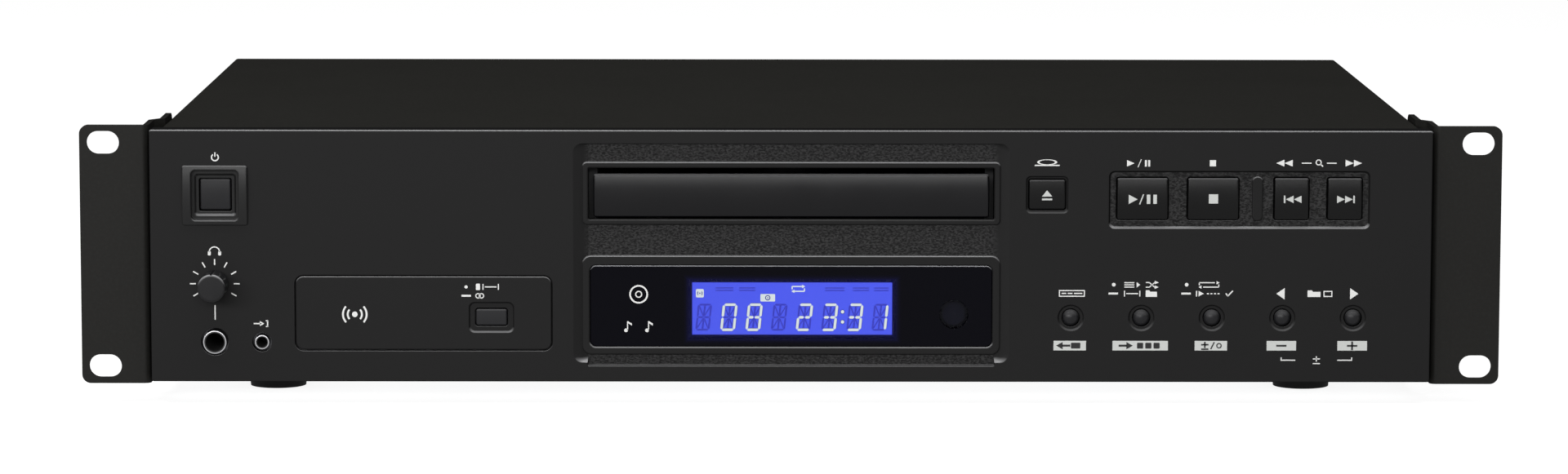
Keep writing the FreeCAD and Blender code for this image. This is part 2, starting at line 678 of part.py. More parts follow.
BOARD_BACK = BOARD_Y + BOARD_THICK
SWITCH_Y = BOARD_Y - SWITCH_HEIGHT
STEM_TIP = SWITCH_Y + STEM_DIP
FRONT_WALL_Y = PANEL_BACK
FRONT_WALL_BACK = FRONT_WALL_Y + SHEET
BRACKET_BACK = EAR_Y + BRACKET_DEPTH
DOOR_Y = PANEL_Y + DOOR_DROP
TRAY_FRONT = DOOR_Y + DOOR_THICK
SPINDLE_Y = TRAY_FRONT + TRAY_EDGE + WELL_RADIUS
TRAY_BACK = SPINDLE_Y + TRAY_TAIL
LOADER_FRONT = BOARD_BACK + LOADER_GAP
LOADER_BACK = TRAY_BACK + LOADER_TAIL
GEAR_Y = LOADER_FRONT + GEAR_SETBACK
LENS_Y = SPINDLE_Y + PICKUP_HOME
PICKUP_FRONT = LENS_Y - LENS_SETBACK
PICKUP_BACK = PICKUP_FRONT + PICKUP_LENGTH
ROD_FRONT = PICKUP_FRONT - PICKUP_END_GAP
ROD_BACK = PICKUP_BACK + PICKUP_TRAVEL + PICKUP_END_GAP
SLED_Y = PICKUP_FRONT + PICKUP_TRAVEL + SLED_REACH
DECK_FRONT = SPINDLE_Y - DECK_AHEAD
DECK_BACK = ROD_BACK + DECK_TAIL
PIVOT_Y = DECK_BACK - PIVOT_INSET
LOW_BOARD_Y = EAR_Y + LOW_BOARD_FRONT
MAIN_BACK = REAR_Y - MAIN_BACK_GAP
SUPPLY_BACK = REAR_Y - SUPPLY_BACK_GAP
INLET_MOUTH = REAR_FACE + INLET_FLANGE
TRANSPORT_KEYS = {
    "play_pause_button": (PLAY_X, WIDE_KEY),
    "stop_button": (STOP_X, WIDE_KEY),
    "search_back_button": (SEARCH_BACK_X, NARROW_KEY),
    "search_forward_button": (SEARCH_FORWARD_X, NARROW_KEY),
}
ROUND_KEYS = [
    "display_button",
    "play_mode_button",
    "repeat_button",
    "folder_back_button",
    "folder_next_button",
]


# Plain shapes

def block(x0, x1, y0, y1, z0, z1):
    return Part.makeBox(x1 - x0, y1 - y0, z1 - z0, Vector(x0, y0, z0))


def slab(x, z, width, height, y0, y1):
    return block(x - width / 2, x + width / 2, y0, y1, z - height / 2, z + height / 2)


def rod_x(y, z, radius, x0, x1):
    return Part.makeCylinder(radius, x1 - x0, Vector(x0, y, z), Vector(1, 0, 0))


def rod_y(x, z, radius, y0, y1):
    return Part.makeCylinder(radius, y1 - y0, Vector(x, y0, z), Vector(0, 1, 0))


def rod_z(x, y, radius, z0, z1):
    return Part.makeCylinder(radius, z1 - z0, Vector(x, y, z0))


def cone_y(x, z, radius0, radius1, y0, y1):
    return Part.makeCone(radius0, radius1, y1 - y0, Vector(x, y0, z), Vector(0, 1, 0))


def outline(x, z, width, height, corner, y):
    # Closed wire of a rectangle with round corners, upright in the plane y
    step = corner * math.sqrt(0.5)
    corners = [(1, 1, 1, 0), (-1, 1, 0, 1), (-1, -1, -1, 0), (1, -1, 0, -1)]
    arcs = []
    for side_x, side_z, start_x, start_z in corners:
        centre = Vector(x + side_x * (width / 2 - corner), y, z + side_z * (height / 2 - corner))
        start = centre + Vector(start_x * corner, 0, start_z * corner)
        middle = centre + Vector(side_x * step, 0, side_z * step)
        end = centre + Vector(-start_z * corner, 0, start_x * corner)
        arcs.append((start, middle, end))
    edges = []
    for i, (start, middle, end) in enumerate(arcs):
        edges.append(Part.Arc(start, middle, end).toShape())
        edges.append(Part.makeLine(end, arcs[(i + 1) % 4][0]))
    return Part.Wire(edges)


def plate(x, z, width, height, corner, y0, y1):
    return Part.Face(outline(x, z, width, height, corner, y0)).extrude(Vector(0, y1 - y0, 0))


def sloped(front, back):
    # Solid between two outlines in different planes
    return Part.makeLoft([front, back], True, True)


def joined(shapes):
    return shapes[0].multiFuse(shapes[1:]).removeSplitter()


def less(shape, tools):
    return shape.cut(Part.makeCompound(tools))


def rounded_front(shape, y, radius):
    edges = [edge for edge in shape.Edges if all(abs(v.Y - y) < 0.001 for v in edge.Vertexes)]
    return shape.makeFillet(radius, edges)


def crown_face(shape, crown):
    return [face for face in shape.Faces if abs(getattr(face.Surface, "Radius", 0) - crown) < 0.001][0]


def crowned(x, z, width, height, corner, y, back, edge, crown=KEY_CROWN):
    # Plate whose front bulges a little between its top and bottom, with rounded front edges
    sag = crown - math.sqrt(crown ** 2 - (height / 2) ** 2)
    left = x - width / 2
    low = Vector(left, y + sag, z - height / 2)
    top = Vector(left, y + sag, z + height / 2)
    low_back = Vector(left, back, z - height / 2)
    top_back = Vector(left, back, z + height / 2)
    profile = Part.Wire([Part.Arc(low, Vector(left, y, z), top).toShape(), Part.makeLine(top, top_back),
                         Part.makeLine(top_back, low_back), Part.makeLine(low_back, low)])
    bar = Part.Face(profile).extrude(Vector(width, 0, 0))
    cap = bar.common(plate(x, z, width, height, corner, y - 1, back))
    return cap.makeFillet(edge, crown_face(cap, crown).OuterWire.Edges)


def prism_z(points, z0, z1):
    wire = Part.makePolygon([Vector(x, y, z0) for x, y in points + points[:1]])
    return Part.Face(wire).extrude(Vector(0, 0, z1 - z0))


def save(node, *shapes):
    shape = shapes[0] if len(shapes) == 1 else Part.makeCompound(list(shapes))
    for solid in shape.Solids:
        if not solid.isValid():
            raise RuntimeError(node + " has a faulty solid")
    shape.exportStep("parts/" + node + ".step")


# Toothed shapes

def gear(x, y, module, teeth, backlash, z0, z1, first_tooth):
    # Straight-flanked teeth, the first one centred on the direction first_tooth
    pitch = module * teeth / 2
    tip_half = module * math.pi / 4 - backlash / 2 - 0.29 * module
    root_half = module * math.pi / 4 - backlash / 2 + 0.4 * module
    points = []
    for tooth in range(teeth):
        middle = first_tooth + tooth * 2 * math.pi / teeth
        for half, radius in ((-root_half, pitch - 1.1 * module), (-tip_half, pitch + 0.8 * module),
                             (tip_half, pitch + 0.8 * module), (root_half, pitch - 1.1 * module)):
            angle = middle + half / pitch
            points.append((x + radius * math.cos(angle), y + radius * math.sin(angle)))
    return prism_z(points, z0, z1)


def rack(pitch_x, bar, module, backlash, gap_y, y0, y1, z0, z1):
    # Bar with teeth towards +X, with a gap between two teeth at gap_y
    pitch = math.pi * module
    tip_half = pitch / 4 - backlash / 2 - 0.29 * module
    root_half = pitch / 4 - backlash / 2 + 0.4 * module
    root_x = pitch_x - 1.1 * module
    tip_x = pitch_x + 0.8 * module
    first = math.ceil((y0 + root_half - gap_y) / pitch - 0.5)
    last = math.floor((y1 - root_half - gap_y) / pitch - 0.5)
    points = [(root_x - bar, y1), (root_x - bar, y0), (root_x, y0)]
    for tooth in range(first, last + 1):
        middle = gap_y + (tooth + 0.5) * pitch
        points += [(root_x, middle - root_half), (tip_x, middle - tip_half),
                   (tip_x, middle + tip_half), (root_x, middle + root_half)]
    points.append((root_x, y1))
    return prism_z(points, z0, z1)


def loop_round(x0, y0, radius0, x1, y1, radius1, z0, z1):
    # Solid of a tight loop round two circles whose centres share one Y
    distance = x1 - x0
    lean = math.acos((radius0 - radius1) / distance)
    along = Vector(math.cos(lean), math.sin(lean), 0)
    across = Vector(math.cos(lean), -math.sin(lean), 0)
    centre0 = Vector(x0, y0, z0)
    centre1 = Vector(x1, y1, z0)
    start0, end0 = centre0 + along * radius0, centre0 + across * radius0
    start1, end1 = centre1 + across * radius1, centre1 + along * radius1
    edges = [
        Part.Arc(start0, centre0 - Vector(radius0, 0, 0), end0).toShape(),
        Part.makeLine(end0, start1),
        Part.Arc(start1, centre1 + Vector(radius1, 0, 0), end1).toShape(),
        Part.makeLine(end1, start0),
    ]
    return Part.Face(Part.Wire(edges)).extrude(Vector(0, 0, z1 - z0))


# Screws

def screw(position, direction, length):
    # Pan head with a cross recess; the head's seat is at position and the thread runs along direction
    shank = Part.makeCylinder(SCREW_RADIUS, length, Vector(0, 0, 0), Vector(0, 0, 1))
    head = Part.makeCylinder(SCREW_HEAD_RADIUS, SCREW_HEAD, Vector(0, 0, -SCREW_HEAD), Vector(0, 0, 1))
    rim = [edge for edge in head.Edges if all(abs(v.Z + SCREW_HEAD) < 0.001 for v in edge.Vertexes)]
    head = head.makeFillet(SCREW_HEAD * 0.4, rim)
    long_half = CROSS_LENGTH / 2
    short_half = CROSS_WIDTH / 2
    bottom = CROSS_DEPTH - SCREW_HEAD
    cross = [block(-long_half, long_half, -short_half, short_half, -SCREW_HEAD, bottom),
             block(-short_half, short_half, -long_half, long_half, -SCREW_HEAD, bottom)]
    body = less(joined([shank, head]), cross)
    body.Placement = FreeCAD.Placement(position, FreeCAD.Rotation(Vector(0, 0, 1), direction))
    return body


def bracket_screw_places():
    return [(side, BRACKET_BACK - BRACKET_SCREW_INSET, PANEL_Z + step * BRACKET_SCREW_PITCH)
            for side in (-1, 1) for step in (-1, 0, 1)]


def cover_screw_places():
    return [(side, y, FLOOR_TOP + COVER_SCREW_RISE)
            for side in (-1, 1) for y in (EAR_Y + COVER_SCREW_FRONT, REAR_Y - COVER_SCREW_REAR)]


def lip_screw_places():
    reach = CASE_HALF - LIP_SCREW_INSET
    return [(x, CASE_TOP - COVER_LIP / 2) for x in (-reach, 0, reach)]


def rear_screw_places():
    reach = CASE_HALF - REAR_SCREW_INSET
    return [(x, FLOOR_TOP + REAR_SCREW_RISE) for x in (-reach, 0, reach)]


def inlet_screw_places():
    return [(INLET_X + side * INLET_SCREW_SPACING / 2, INLET_Z) for side in (-1, 1)]


def low_board_screw_places():
    front = LOW_BOARD_Y + STANDOFF_INSET
    places = [(x, y) for x in (MAIN_BOARD_LEFT + STANDOFF_INSET, MAIN_BOARD_RIGHT - STANDOFF_INSET)
              for y in (front, MAIN_BACK - SOCKET_ROOM)]
    places += [(x, y) for x in (SUPPLY_LEFT + STANDOFF_INSET, SUPPLY_RIGHT - STANDOFF_INSET)
               for y in (front, SUPPLY_BACK - STANDOFF_INSET)]
    return places


def control_boss_places():
    inner = SINK_HALF + MIDDLE_BOSS_GAP
    right = BOARD_RIGHT - BOSS_INSET
    places = [(x, LOW_BOSS_Z) for x in (BOARD_LEFT + BOSS_INSET, -inner, inner, right)]
    return places + [(KEY_BOARD_LEFT + BOSS_INSET, HIGH_BOSS_Z), (right, HIGH_BOSS_Z)]


def phones_boss_places():
    left = PHONES_BOARD_LEFT + BOSS_INSET
    top = BOARD_TOP - BOSS_INSET
    return [(left, LOW_BOSS_Z), (left, top), (BOARD_LEFT - BOARD_GAP - BOSS_INSET, top)]


def foot_places():
    return [(x, y) for x in (-FOOT_X, FOOT_X) for y in (EAR_Y + FOOT_FRONT, REAR_Y - FOOT_REAR)]


def case_screws():
    screws = [screw(Vector(side * (CASE_HALF + BRACKET_STEEL), y, z), Vector(-side, 0, 0), SCREW_LENGTH)
              for side, y, z in bracket_screw_places()]
    screws += [screw(Vector(side * CASE_HALF, y, z), Vector(-side, 0, 0), SCREW_LENGTH)
               for side, y, z in cover_screw_places()]
    screws += [screw(Vector(x, REAR_Y, z), Vector(0, -1, 0), SCREW_LENGTH) for x, z in lip_screw_places()]
    screws += [screw(Vector(x, REAR_FACE, z), Vector(0, -1, 0), SCREW_LENGTH) for x, z in rear_screw_places()]
    screws += [screw(Vector(x, INLET_MOUTH, z), Vector(0, -1, 0), SCREW_LENGTH)
               for x, z in inlet_screw_places()]
    save("case_screws", *screws)


def board_screws():
    screws = [screw(Vector(x, BOARD_BACK, z), Vector(0, -1, 0), SCREW_LENGTH)
              for x, z in control_boss_places() + phones_boss_places()]
    screws += [screw(Vector(x, y, LOW_BOARD_TOP), Vector(0, 0, -1), SCREW_LENGTH)
               for x, y in low_board_screw_places()]
    save("board_screws", *screws)


def foot_screws():
    save("foot_screws", *[screw(Vector(x, y, FOOT_RECESS), Vector(0, 0, 1), FOOT_SCREW_LENGTH)
                          for x, y in foot_places()])


# Case

def rack_brackets():
    seat = CASE_HALF + BRACKET_STEEL
    leg_out = seat + BRACKET_JOGGLE
    leg_in = leg_out - BRACKET_STEEL
    joggle_y = EAR_Y + FRONT_LEG_DEPTH
    seat_y = joggle_y + JOGGLE_DEPTH
    tip = RACK_WIDTH / 2
    ear_top = EAR_BOTTOM + EAR_HEIGHT
    profile = [(tip, EAR_Y), (tip, EAR_Y + BRACKET_STEEL), (leg_out, EAR_Y + BRACKET_STEEL),
               (leg_out, joggle_y), (seat, seat_y), (seat, BRACKET_BACK), (CASE_HALF, BRACKET_BACK),
               (CASE_HALF, seat_y), (leg_in, joggle_y), (leg_in, EAR_Y)]
    strip = prism_z(profile, EAR_BOTTOM, ear_top)
    bend = [edge for edge in strip.Edges
            if all(abs(v.X - leg_in) < 0.001 and abs(v.Y - EAR_Y) < 0.001 for v in edge.Vertexes)]
    strip = strip.makeFillet(BRACKET_BEND, bend)
    strip = strip.common(plate(0, PANEL_Z, RACK_WIDTH, EAR_HEIGHT, EAR_CORNER, EAR_Y - 1, BRACKET_BACK + 1))
    corner_y = BRACKET_BACK - BRACKET_CORNER
    for low, high, middle in ((EAR_BOTTOM, EAR_BOTTOM + BRACKET_CORNER, EAR_BOTTOM + BRACKET_CORNER),
                              (ear_top - BRACKET_CORNER, ear_top, ear_top - BRACKET_CORNER)):
        square = block(CASE_HALF - 1, leg_out, corner_y, BRACKET_BACK + 1, low, high)
        round_end = rod_x(corner_y, middle, BRACKET_CORNER, CASE_HALF - 2, leg_out + 1)
        strip = strip.cut(square.cut(round_end))
    slots = []
    straight = SLOT_LENGTH - SLOT_WIDTH
    for direction in (-1, 1):
        z = PANEL_Z + direction * SLOT_SPACING_Z / 2
        y0 = EAR_Y - 1
        y1 = EAR_Y + BRACKET_STEEL + 1
        slots.append(joined([slab(SLOT_X, z, straight, SLOT_WIDTH, y0, y1),
                             rod_y(SLOT_X - straight / 2, z, SLOT_WIDTH / 2, y0, y1),
                             rod_y(SLOT_X + straight / 2, z, SLOT_WIDTH / 2, y0, y1)]))
    holes = [rod_x(y, z, SCREW_HOLE, CASE_HALF - 1, leg_out + 1)
             for side, y, z in bracket_screw_places() if side > 0]
    right = less(strip, slots + holes)
    save("rack_bracket_right", right)
    save("rack_bracket_left", right.mirror(Vector(0, 0, 0), Vector(1, 0, 0)))


def chassis_base():
    inner = BASE_HALF - SHEET
    top_of_low = FOOT_HEIGHT + LOW_FLANGE
    tall_end = EAR_Y + TALL_FLANGE
    floor = block(-BASE_HALF, BASE_HALF, FRONT_WALL_Y, REAR_INNER, FOOT_HEIGHT, FLOOR_TOP)
    front = block(-BASE_HALF, BASE_HALF, FRONT_WALL_Y, FRONT_WALL_BACK, FOOT_HEIGHT, BASE_TOP)
    rear = block(-BASE_HALF, BASE_HALF, REAR_INNER - SHEET, REAR_INNER, FOOT_HEIGHT, top_of_low)
    pieces = [floor, front, rear]
    for side in (-1, 1):
        low, high = sorted((side * inner, side * BASE_HALF))
        pieces.append(block(low, high, FRONT_WALL_Y, REAR_INNER, FOOT_HEIGHT, top_of_low))
        pieces.append(block(low, high, FRONT_WALL_Y, tall_end, FOOT_HEIGHT, BASE_TOP))
    for x, y in low_board_screw_places():
        pieces.append(rod_z(x, y, BOSS_RADIUS, FLOOR_TOP, STANDOFF_TOP))
    base = joined(pieces)
    middle = KEY_BOARD_LEFT - WALL_GAP
    top = BASE_TOP - WALL_FRAME
    bottom = FLOOR_TOP + WALL_FRAME
    outer = BASE_HALF - WALL_FRAME
    openings = [
        (-middle, middle, bottom, top),
        (middle + WALL_POST, outer, bottom, top),
        (-outer, -middle - WALL_POST, bottom, BOARD_TOP + WALL_GAP),
    ]
    through = (FRONT_WALL_Y - 1, FRONT_WALL_BACK + 1)
    cuts = [block(x0, x1, through[0], through[1], z0, z1) for x0, x1, z0, z1 in openings]
    switch_window = POWER_SWITCH_SIZE + 2 * SWITCH_WINDOW_MARGIN
    cuts.append(slab(POWER_X, POWER_Z, switch_window, switch_window, through[0], through[1]))
    cuts += [rod_z(x, y, SCREW_RADIUS, FOOT_HEIGHT - 1, FLOOR_TOP + 1) for x, y in foot_places()]
    cuts += [rod_z(x, y, SCREW_RADIUS, FLOOR_TOP, STANDOFF_TOP + 1) for x, y in low_board_screw_places()]
    for side, y, z in bracket_screw_places() + cover_screw_places():
        low, high = sorted((side * (inner - 1), side * (BASE_HALF + 1)))
        cuts.append(rod_x(y, z, SCREW_RADIUS, low, high))
    cuts += [rod_y(x, z, SCREW_RADIUS, REAR_INNER - SHEET - 1, REAR_INNER + 1)
             for x, z in rear_screw_places()]
    cuts.append(block(OPTICAL_X - SOCKET_NOTCH, ANALOG_X + ANALOG_PITCH / 2 + SOCKET_NOTCH,
                      REAR_INNER - SHEET - 1, REAR_INNER + 1, STANDOFF_TOP - SHEET_GAP, top_of_low + 1))
    save("chassis_base", less(base, cuts))


def top_cover():
    front = PANEL_BACK + COVER_GAP
    inside = CASE_HALF - SHEET
    outer = block(-CASE_HALF, CASE_HALF, front, REAR_Y, FOOT_HEIGHT, CASE_TOP)
    top_edges = [edge for edge in outer.Edges
                 if all(abs(v.Z - CASE_TOP) < 0.001 for v in edge.Vertexes)
                 and abs(edge.Vertexes[0].X - edge.Vertexes[1].X) < 0.001]
    outer = outer.makeFillet(COVER_BEND, top_edges)
    cuts = [block(-inside, inside, front - 1, REAR_FACE, FOOT_HEIGHT - 1, CASE_TOP - SHEET),
            block(-inside, inside, REAR_FACE - 1, REAR_Y + 1, FOOT_HEIGHT - 1, CASE_TOP - COVER_LIP)]
    for side, y, z in bracket_screw_places() + cover_screw_places():
        low, high = sorted((side * (inside - 1), side * (CASE_HALF + 1)))
        cuts.append(rod_x(y, z, SCREW_HOLE, low, high))
    cuts += [rod_y(x, z, SCREW_HOLE, REAR_FACE - 1, REAR_Y + 1) for x, z in lip_screw_places()]
    save("top_cover", less(outer, cuts))


def rear_panel():
    before = REAR_INNER - 1
    after = REAR_FACE + 1
    panel = block(-BASE_HALF, BASE_HALF, REAR_INNER, REAR_FACE, FOOT_HEIGHT + SHEET_GAP,
                  CASE_TOP - SHEET - SHEET_GAP)
    cuts = [slab(INLET_X, INLET_Z, INLET_SOCKET_WIDTH + 2 * (INLET_WALL + CUT_GAP),
                 INLET_SOCKET_HEIGHT + 2 * (INLET_WALL + CUT_GAP), before, after)]
    cuts += [rod_y(x, SOCKET_Z, BARREL_HOLE, before, after) for x in barrel_places()]
    optical_cut = OPTICAL_SIZE + 2 * CUT_GAP
    cuts.append(slab(OPTICAL_X, SOCKET_Z, optical_cut, optical_cut, before, after))
    cuts += [rod_y(x, z, SCREW_RADIUS, before, after) for x, z in lip_screw_places() + inlet_screw_places()]
    cuts += [rod_y(x, z, SCREW_HOLE, before, after) for x, z in rear_screw_places()]
    save("rear_panel", less(panel, cuts))


def feet():
    rubber = []
    for x, y in foot_places():
        foot = Part.makeCone(FOOT_RADIUS - FOOT_TAPER, FOOT_RADIUS, FOOT_HEIGHT, Vector(x, y, 0))
        rubber.append(less(foot, [rod_z(x, y, FOOT_RECESS_RADIUS, -1, FOOT_RECESS),
                                  rod_z(x, y, SCREW_HOLE, 0, FOOT_HEIGHT + 1)]))
    save("feet", *rubber)


# Front panel and what is set in it

def key_places():
    # Name, centre and size of each square key that passes through the front panel
    keys = [(name, x, TRANSPORT_Z, width, TRANSPORT_HEIGHT) for name, (x, width) in TRANSPORT_KEYS.items()]
    keys.append(("open_close_button", OPEN_KEY_X, OPEN_KEY_Z, OPEN_KEY_WIDTH, OPEN_KEY_HEIGHT))
    return keys


def round_key_places():
    return [(name, FIRST_KEY_X + i * KEY_PITCH) for i, name in enumerate(ROUND_KEYS)]


def sunk_field():
    # Pocket of the middle field: sloping sides, a low lip at the bottom
    front_z = (SINK_TOP + SINK_SIDE_BOTTOM) / 2
    front_height = SINK_TOP - SINK_SIDE_BOTTOM
    floor_width = SINK_WIDTH - 2 * SINK_RAMP
    floor_bottom = SINK_SIDE_BOTTOM + SINK_FLOOR_RISE
    floor_top = SINK_TOP - SINK_FLOOR_DROP
    sides = sloped(outline(0, front_z, SINK_WIDTH, front_height, SINK_CORNER, PANEL_Y),
                   outline(0, (floor_top + floor_bottom) / 2, floor_width, floor_top - floor_bottom,
                           SINK_FLOOR_CORNER, SINK_FLOOR))
    low_top = SINK_TOP - SINK_HEAD
    low_z = (low_top + SINK_BOTTOM) / 2
    low_width = floor_width + SINK_LIP
    low_height = low_top - SINK_BOTTOM
    low = sloped(outline(0, low_z, low_width, low_height, SINK_FLOOR_CORNER, PANEL_Y),
                 outline(0, low_z + SINK_LIP / 2, floor_width, low_height - SINK_LIP, SINK_FLOOR_CORNER,
                         SINK_FLOOR))
    mouth = plate(0, front_z, SINK_WIDTH, front_height, SINK_CORNER, PANEL_Y - 1, PANEL_Y)
    low_mouth = plate(0, low_z, low_width, low_height, SINK_FLOOR_CORNER, PANEL_Y - 1, PANEL_Y)
    return [sides, low, mouth, low_mouth]


def dish(x, z, width, height, corner, depth, wall):
    # Shallow pocket with sloping walls
    return sloped(outline(x, z, width, height, corner, PANEL_Y),
                  outline(x, z, width - 2 * wall, height - 2 * wall, corner - wall / 2, PANEL_Y + depth))


def raised_rim(z, width, height, corner):
    rim = plate(0, z, width, height, corner, RIM_Y, SINK_FLOOR + JOIN)
    return rounded_front(rim, RIM_Y, RIM_EDGE)


def edged_opening(z, width, height, corner, depth):
    # Opening with a small chamfer at its front edge
    wide = 2 * RIM_CHAMFER
    chamfer = sloped(outline(0, z, width + wide, height + wide, corner + RIM_CHAMFER, RIM_Y),
                     outline(0, z, width, height, corner, RIM_Y + RIM_CHAMFER))
    return [chamfer, plate(0, z, width, height, corner, RIM_Y - 1, depth)]


def front_panel():
    shell = plate(0, PANEL_Z, PANEL_WIDTH, PANEL_HEIGHT, PANEL_CORNER, PANEL_Y, PANEL_BACK)
    shell = rounded_front(shell, PANEL_Y, PANEL_EDGE)
    shell = shell.cut(slab(0, PANEL_Z, PANEL_WIDTH - 2 * PANEL_WALL, PANEL_HEIGHT - 2 * PANEL_WALL,
                           WALL_BACK, PANEL_BACK + 1))
    join = WALL_BACK - JOIN
    more = 2 * BACKING_MARGIN
    guide = 2 * GUIDE_MARGIN
    insert_hole = (INSERT_WIDTH + 2 * INSERT_GROOVE, INSERT_HEIGHT + 2 * INSERT_GROOVE)
    backing = [
        slab(0, (SINK_TOP + SINK_BOTTOM) / 2, SINK_WIDTH, SINK_TOP - SINK_BOTTOM + more, join, SINK_BACK),
        slab(STRIP_X, STRIP_Z, STRIP_WIDTH + more, STRIP_HEIGHT + more, join, GUIDE_BACK),
        slab(INSERT_X, INSERT_Z, insert_hole[0] + 2 * INSERT_BACKING, insert_hole[1] + 2 * INSERT_BACKING,
             join, PANEL_Y + INSERT_THICK + INSERT_BACKING),
        slab(OPEN_KEY_X, OPEN_KEY_Z, OPEN_KEY_WIDTH + guide, OPEN_KEY_HEIGHT + guide, join, GUIDE_BACK),
    ]
    backing += [rod_y(x, ROUND_KEY_Z, ROUND_KEY_RADIUS + GUIDE_MARGIN, join, GUIDE_BACK)
                for name, x in round_key_places()]
    bosses = control_boss_places() + phones_boss_places()
    backing += [rod_y(x, z, BOSS_RADIUS, join, BOARD_Y) for x, z in bosses]
    panel = joined([shell] + backing)
    strip_dish = dish(STRIP_X, STRIP_Z, STRIP_WIDTH, STRIP_HEIGHT, STRIP_CORNER, STRIP_DEPTH, STRIP_WALL)
    open_dish = dish(OPEN_KEY_X, OPEN_KEY_Z, OPEN_KEY_WIDTH + 2 * OPEN_DISH_MARGIN,
                     OPEN_KEY_HEIGHT + 2 * OPEN_DISH_MARGIN_Z, OPEN_DISH_CORNER, DISH_DEPTH, DISH_WALL)
    round_dishes = [cone_y(x, ROUND_KEY_Z, ROUND_DISH_RADIUS, ROUND_DISH_RADIUS - DISH_WALL,
                           PANEL_Y, PANEL_Y + DISH_DEPTH) for name, x in round_key_places()]
    panel = less(panel, sunk_field() + [strip_dish, open_dish] + round_dishes)
    divider_y = PANEL_Y + DIVIDER_DROP
    divider = plate(DIVIDER_X, TRANSPORT_Z, DIVIDER_WIDTH, TRANSPORT_HEIGHT + DIVIDER_EXTRA, DIVIDER_CORNER,
                    divider_y, PANEL_Y + STRIP_DEPTH + JOIN)
    panel = joined([
        panel,
        raised_rim(TRAY_RIM_Z, TRAY_RIM_WIDTH, TRAY_RIM_HEIGHT, TRAY_RIM_CORNER),
        raised_rim(DISPLAY_RIM_Z, DISPLAY_RIM_WIDTH, DISPLAY_RIM_HEIGHT, DISPLAY_RIM_CORNER),
        rounded_front(divider, divider_y, DIVIDER_EDGE)])
    cuts = edged_opening(TRAY_OPENING_Z, TRAY_OPENING_WIDTH, TRAY_OPENING_HEIGHT, TRAY_OPENING_CORNER,
                         SINK_BACK + 1)
    cuts += edged_opening(WINDOW_Z, WINDOW_WIDTH + 2 * SEAT_GAP, WINDOW_HEIGHT + 2 * SEAT_GAP,
                          WINDOW_CORNER + SEAT_GAP, WINDOW_Y + WINDOW_THICK)
    cuts.append(slab(0, WINDOW_Z, WINDOW_WIDTH - 2 * WINDOW_LEDGE, WINDOW_HEIGHT - 2 * WINDOW_LEDGE,
                     RIM_Y, SINK_BACK + 1))
    cuts.append(plate(INSERT_X, INSERT_Z, insert_hole[0], insert_hole[1], INSERT_CORNER + INSERT_GROOVE,
                      PANEL_Y - 1, PANEL_Y + INSERT_THICK))
    cuts.append(slab(INSERT_X, INSERT_Z, INSERT_WIDTH - 2 * INSERT_LEDGE, INSERT_HEIGHT - 2 * INSERT_LEDGE,
                     PANEL_Y, PANEL_Y + INSERT_THICK + INSERT_BACKING + 1))
    for name, x, z, width, height in key_places():
        cuts.append(plate(x, z, width + 2 * KEY_GAP, height + 2 * KEY_GAP, KEY_CORNER + KEY_GAP,
                          PANEL_Y - 1, GUIDE_BACK + 1))
    for name, x in round_key_places():
        cuts.append(rod_y(x, ROUND_KEY_Z, ROUND_KEY_RADIUS + KEY_GAP, PANEL_Y - 1, GUIDE_BACK + 1))
    cuts.append(plate(POWER_X, POWER_Z, COLLAR_WIDTH + 2 * SEAT_GAP, COLLAR_HEIGHT + 2 * SEAT_GAP,
                      BEZEL_COLLAR_CORNER, PANEL_Y - 1, WALL_BACK + 1))
    for x, z, radius in ((KNOB_X, KNOB_Z, SHAFT_RADIUS + SHAFT_HOLE_GAP), (PHONES_X, PHONES_Z, PHONES_HOLE),
                         (AUX_X, AUX_Z, AUX_HOLE)):
        cuts.append(rod_y(x, z, radius, PANEL_Y - 1, WALL_BACK + 1))
    cuts += [rod_y(x, z, SCREW_RADIUS, BOARD_Y - SCREW_LENGTH, BOARD_Y + 1) for x, z in bosses]
    save("front_panel", less(panel, cuts))


def wireless_panel():
    back = PANEL_Y + INSERT_THICK
    insert = plate(INSERT_X, INSERT_Z, INSERT_WIDTH, INSERT_HEIGHT, INSERT_CORNER, PANEL_Y, back)
    insert = rounded_front(insert, PANEL_Y, INSERT_EDGE)
    guide = slab(DEVICE_KEY_X, DEVICE_KEY_Z, DEVICE_KEY_WIDTH + 2 * GUIDE_MARGIN,
                 DEVICE_KEY_HEIGHT + 2 * GUIDE_MARGIN, back - JOIN, GUIDE_BACK)
    cuts = [dish(DEVICE_KEY_X, DEVICE_KEY_Z, DEVICE_KEY_WIDTH + 2 * DEVICE_DISH_MARGIN,
                 DEVICE_KEY_HEIGHT + 2 * DEVICE_DISH_MARGIN, DEVICE_DISH_CORNER, DISH_DEPTH, DISH_WALL),
            plate(DEVICE_KEY_X, DEVICE_KEY_Z, DEVICE_KEY_WIDTH + 2 * KEY_GAP, DEVICE_KEY_HEIGHT + 2 * KEY_GAP,
                  KEY_CORNER + KEY_GAP, PANEL_Y - 1, GUIDE_BACK + 1)]
    save("wireless_panel", less(joined([insert, guide]), cuts))


def display_window():
    window = plate(0, WINDOW_Z, WINDOW_WIDTH, WINDOW_HEIGHT, WINDOW_CORNER, WINDOW_Y, WINDOW_Y + WINDOW_THICK)
    save("display_window", rounded_front(window, WINDOW_Y, WINDOW_EDGE))


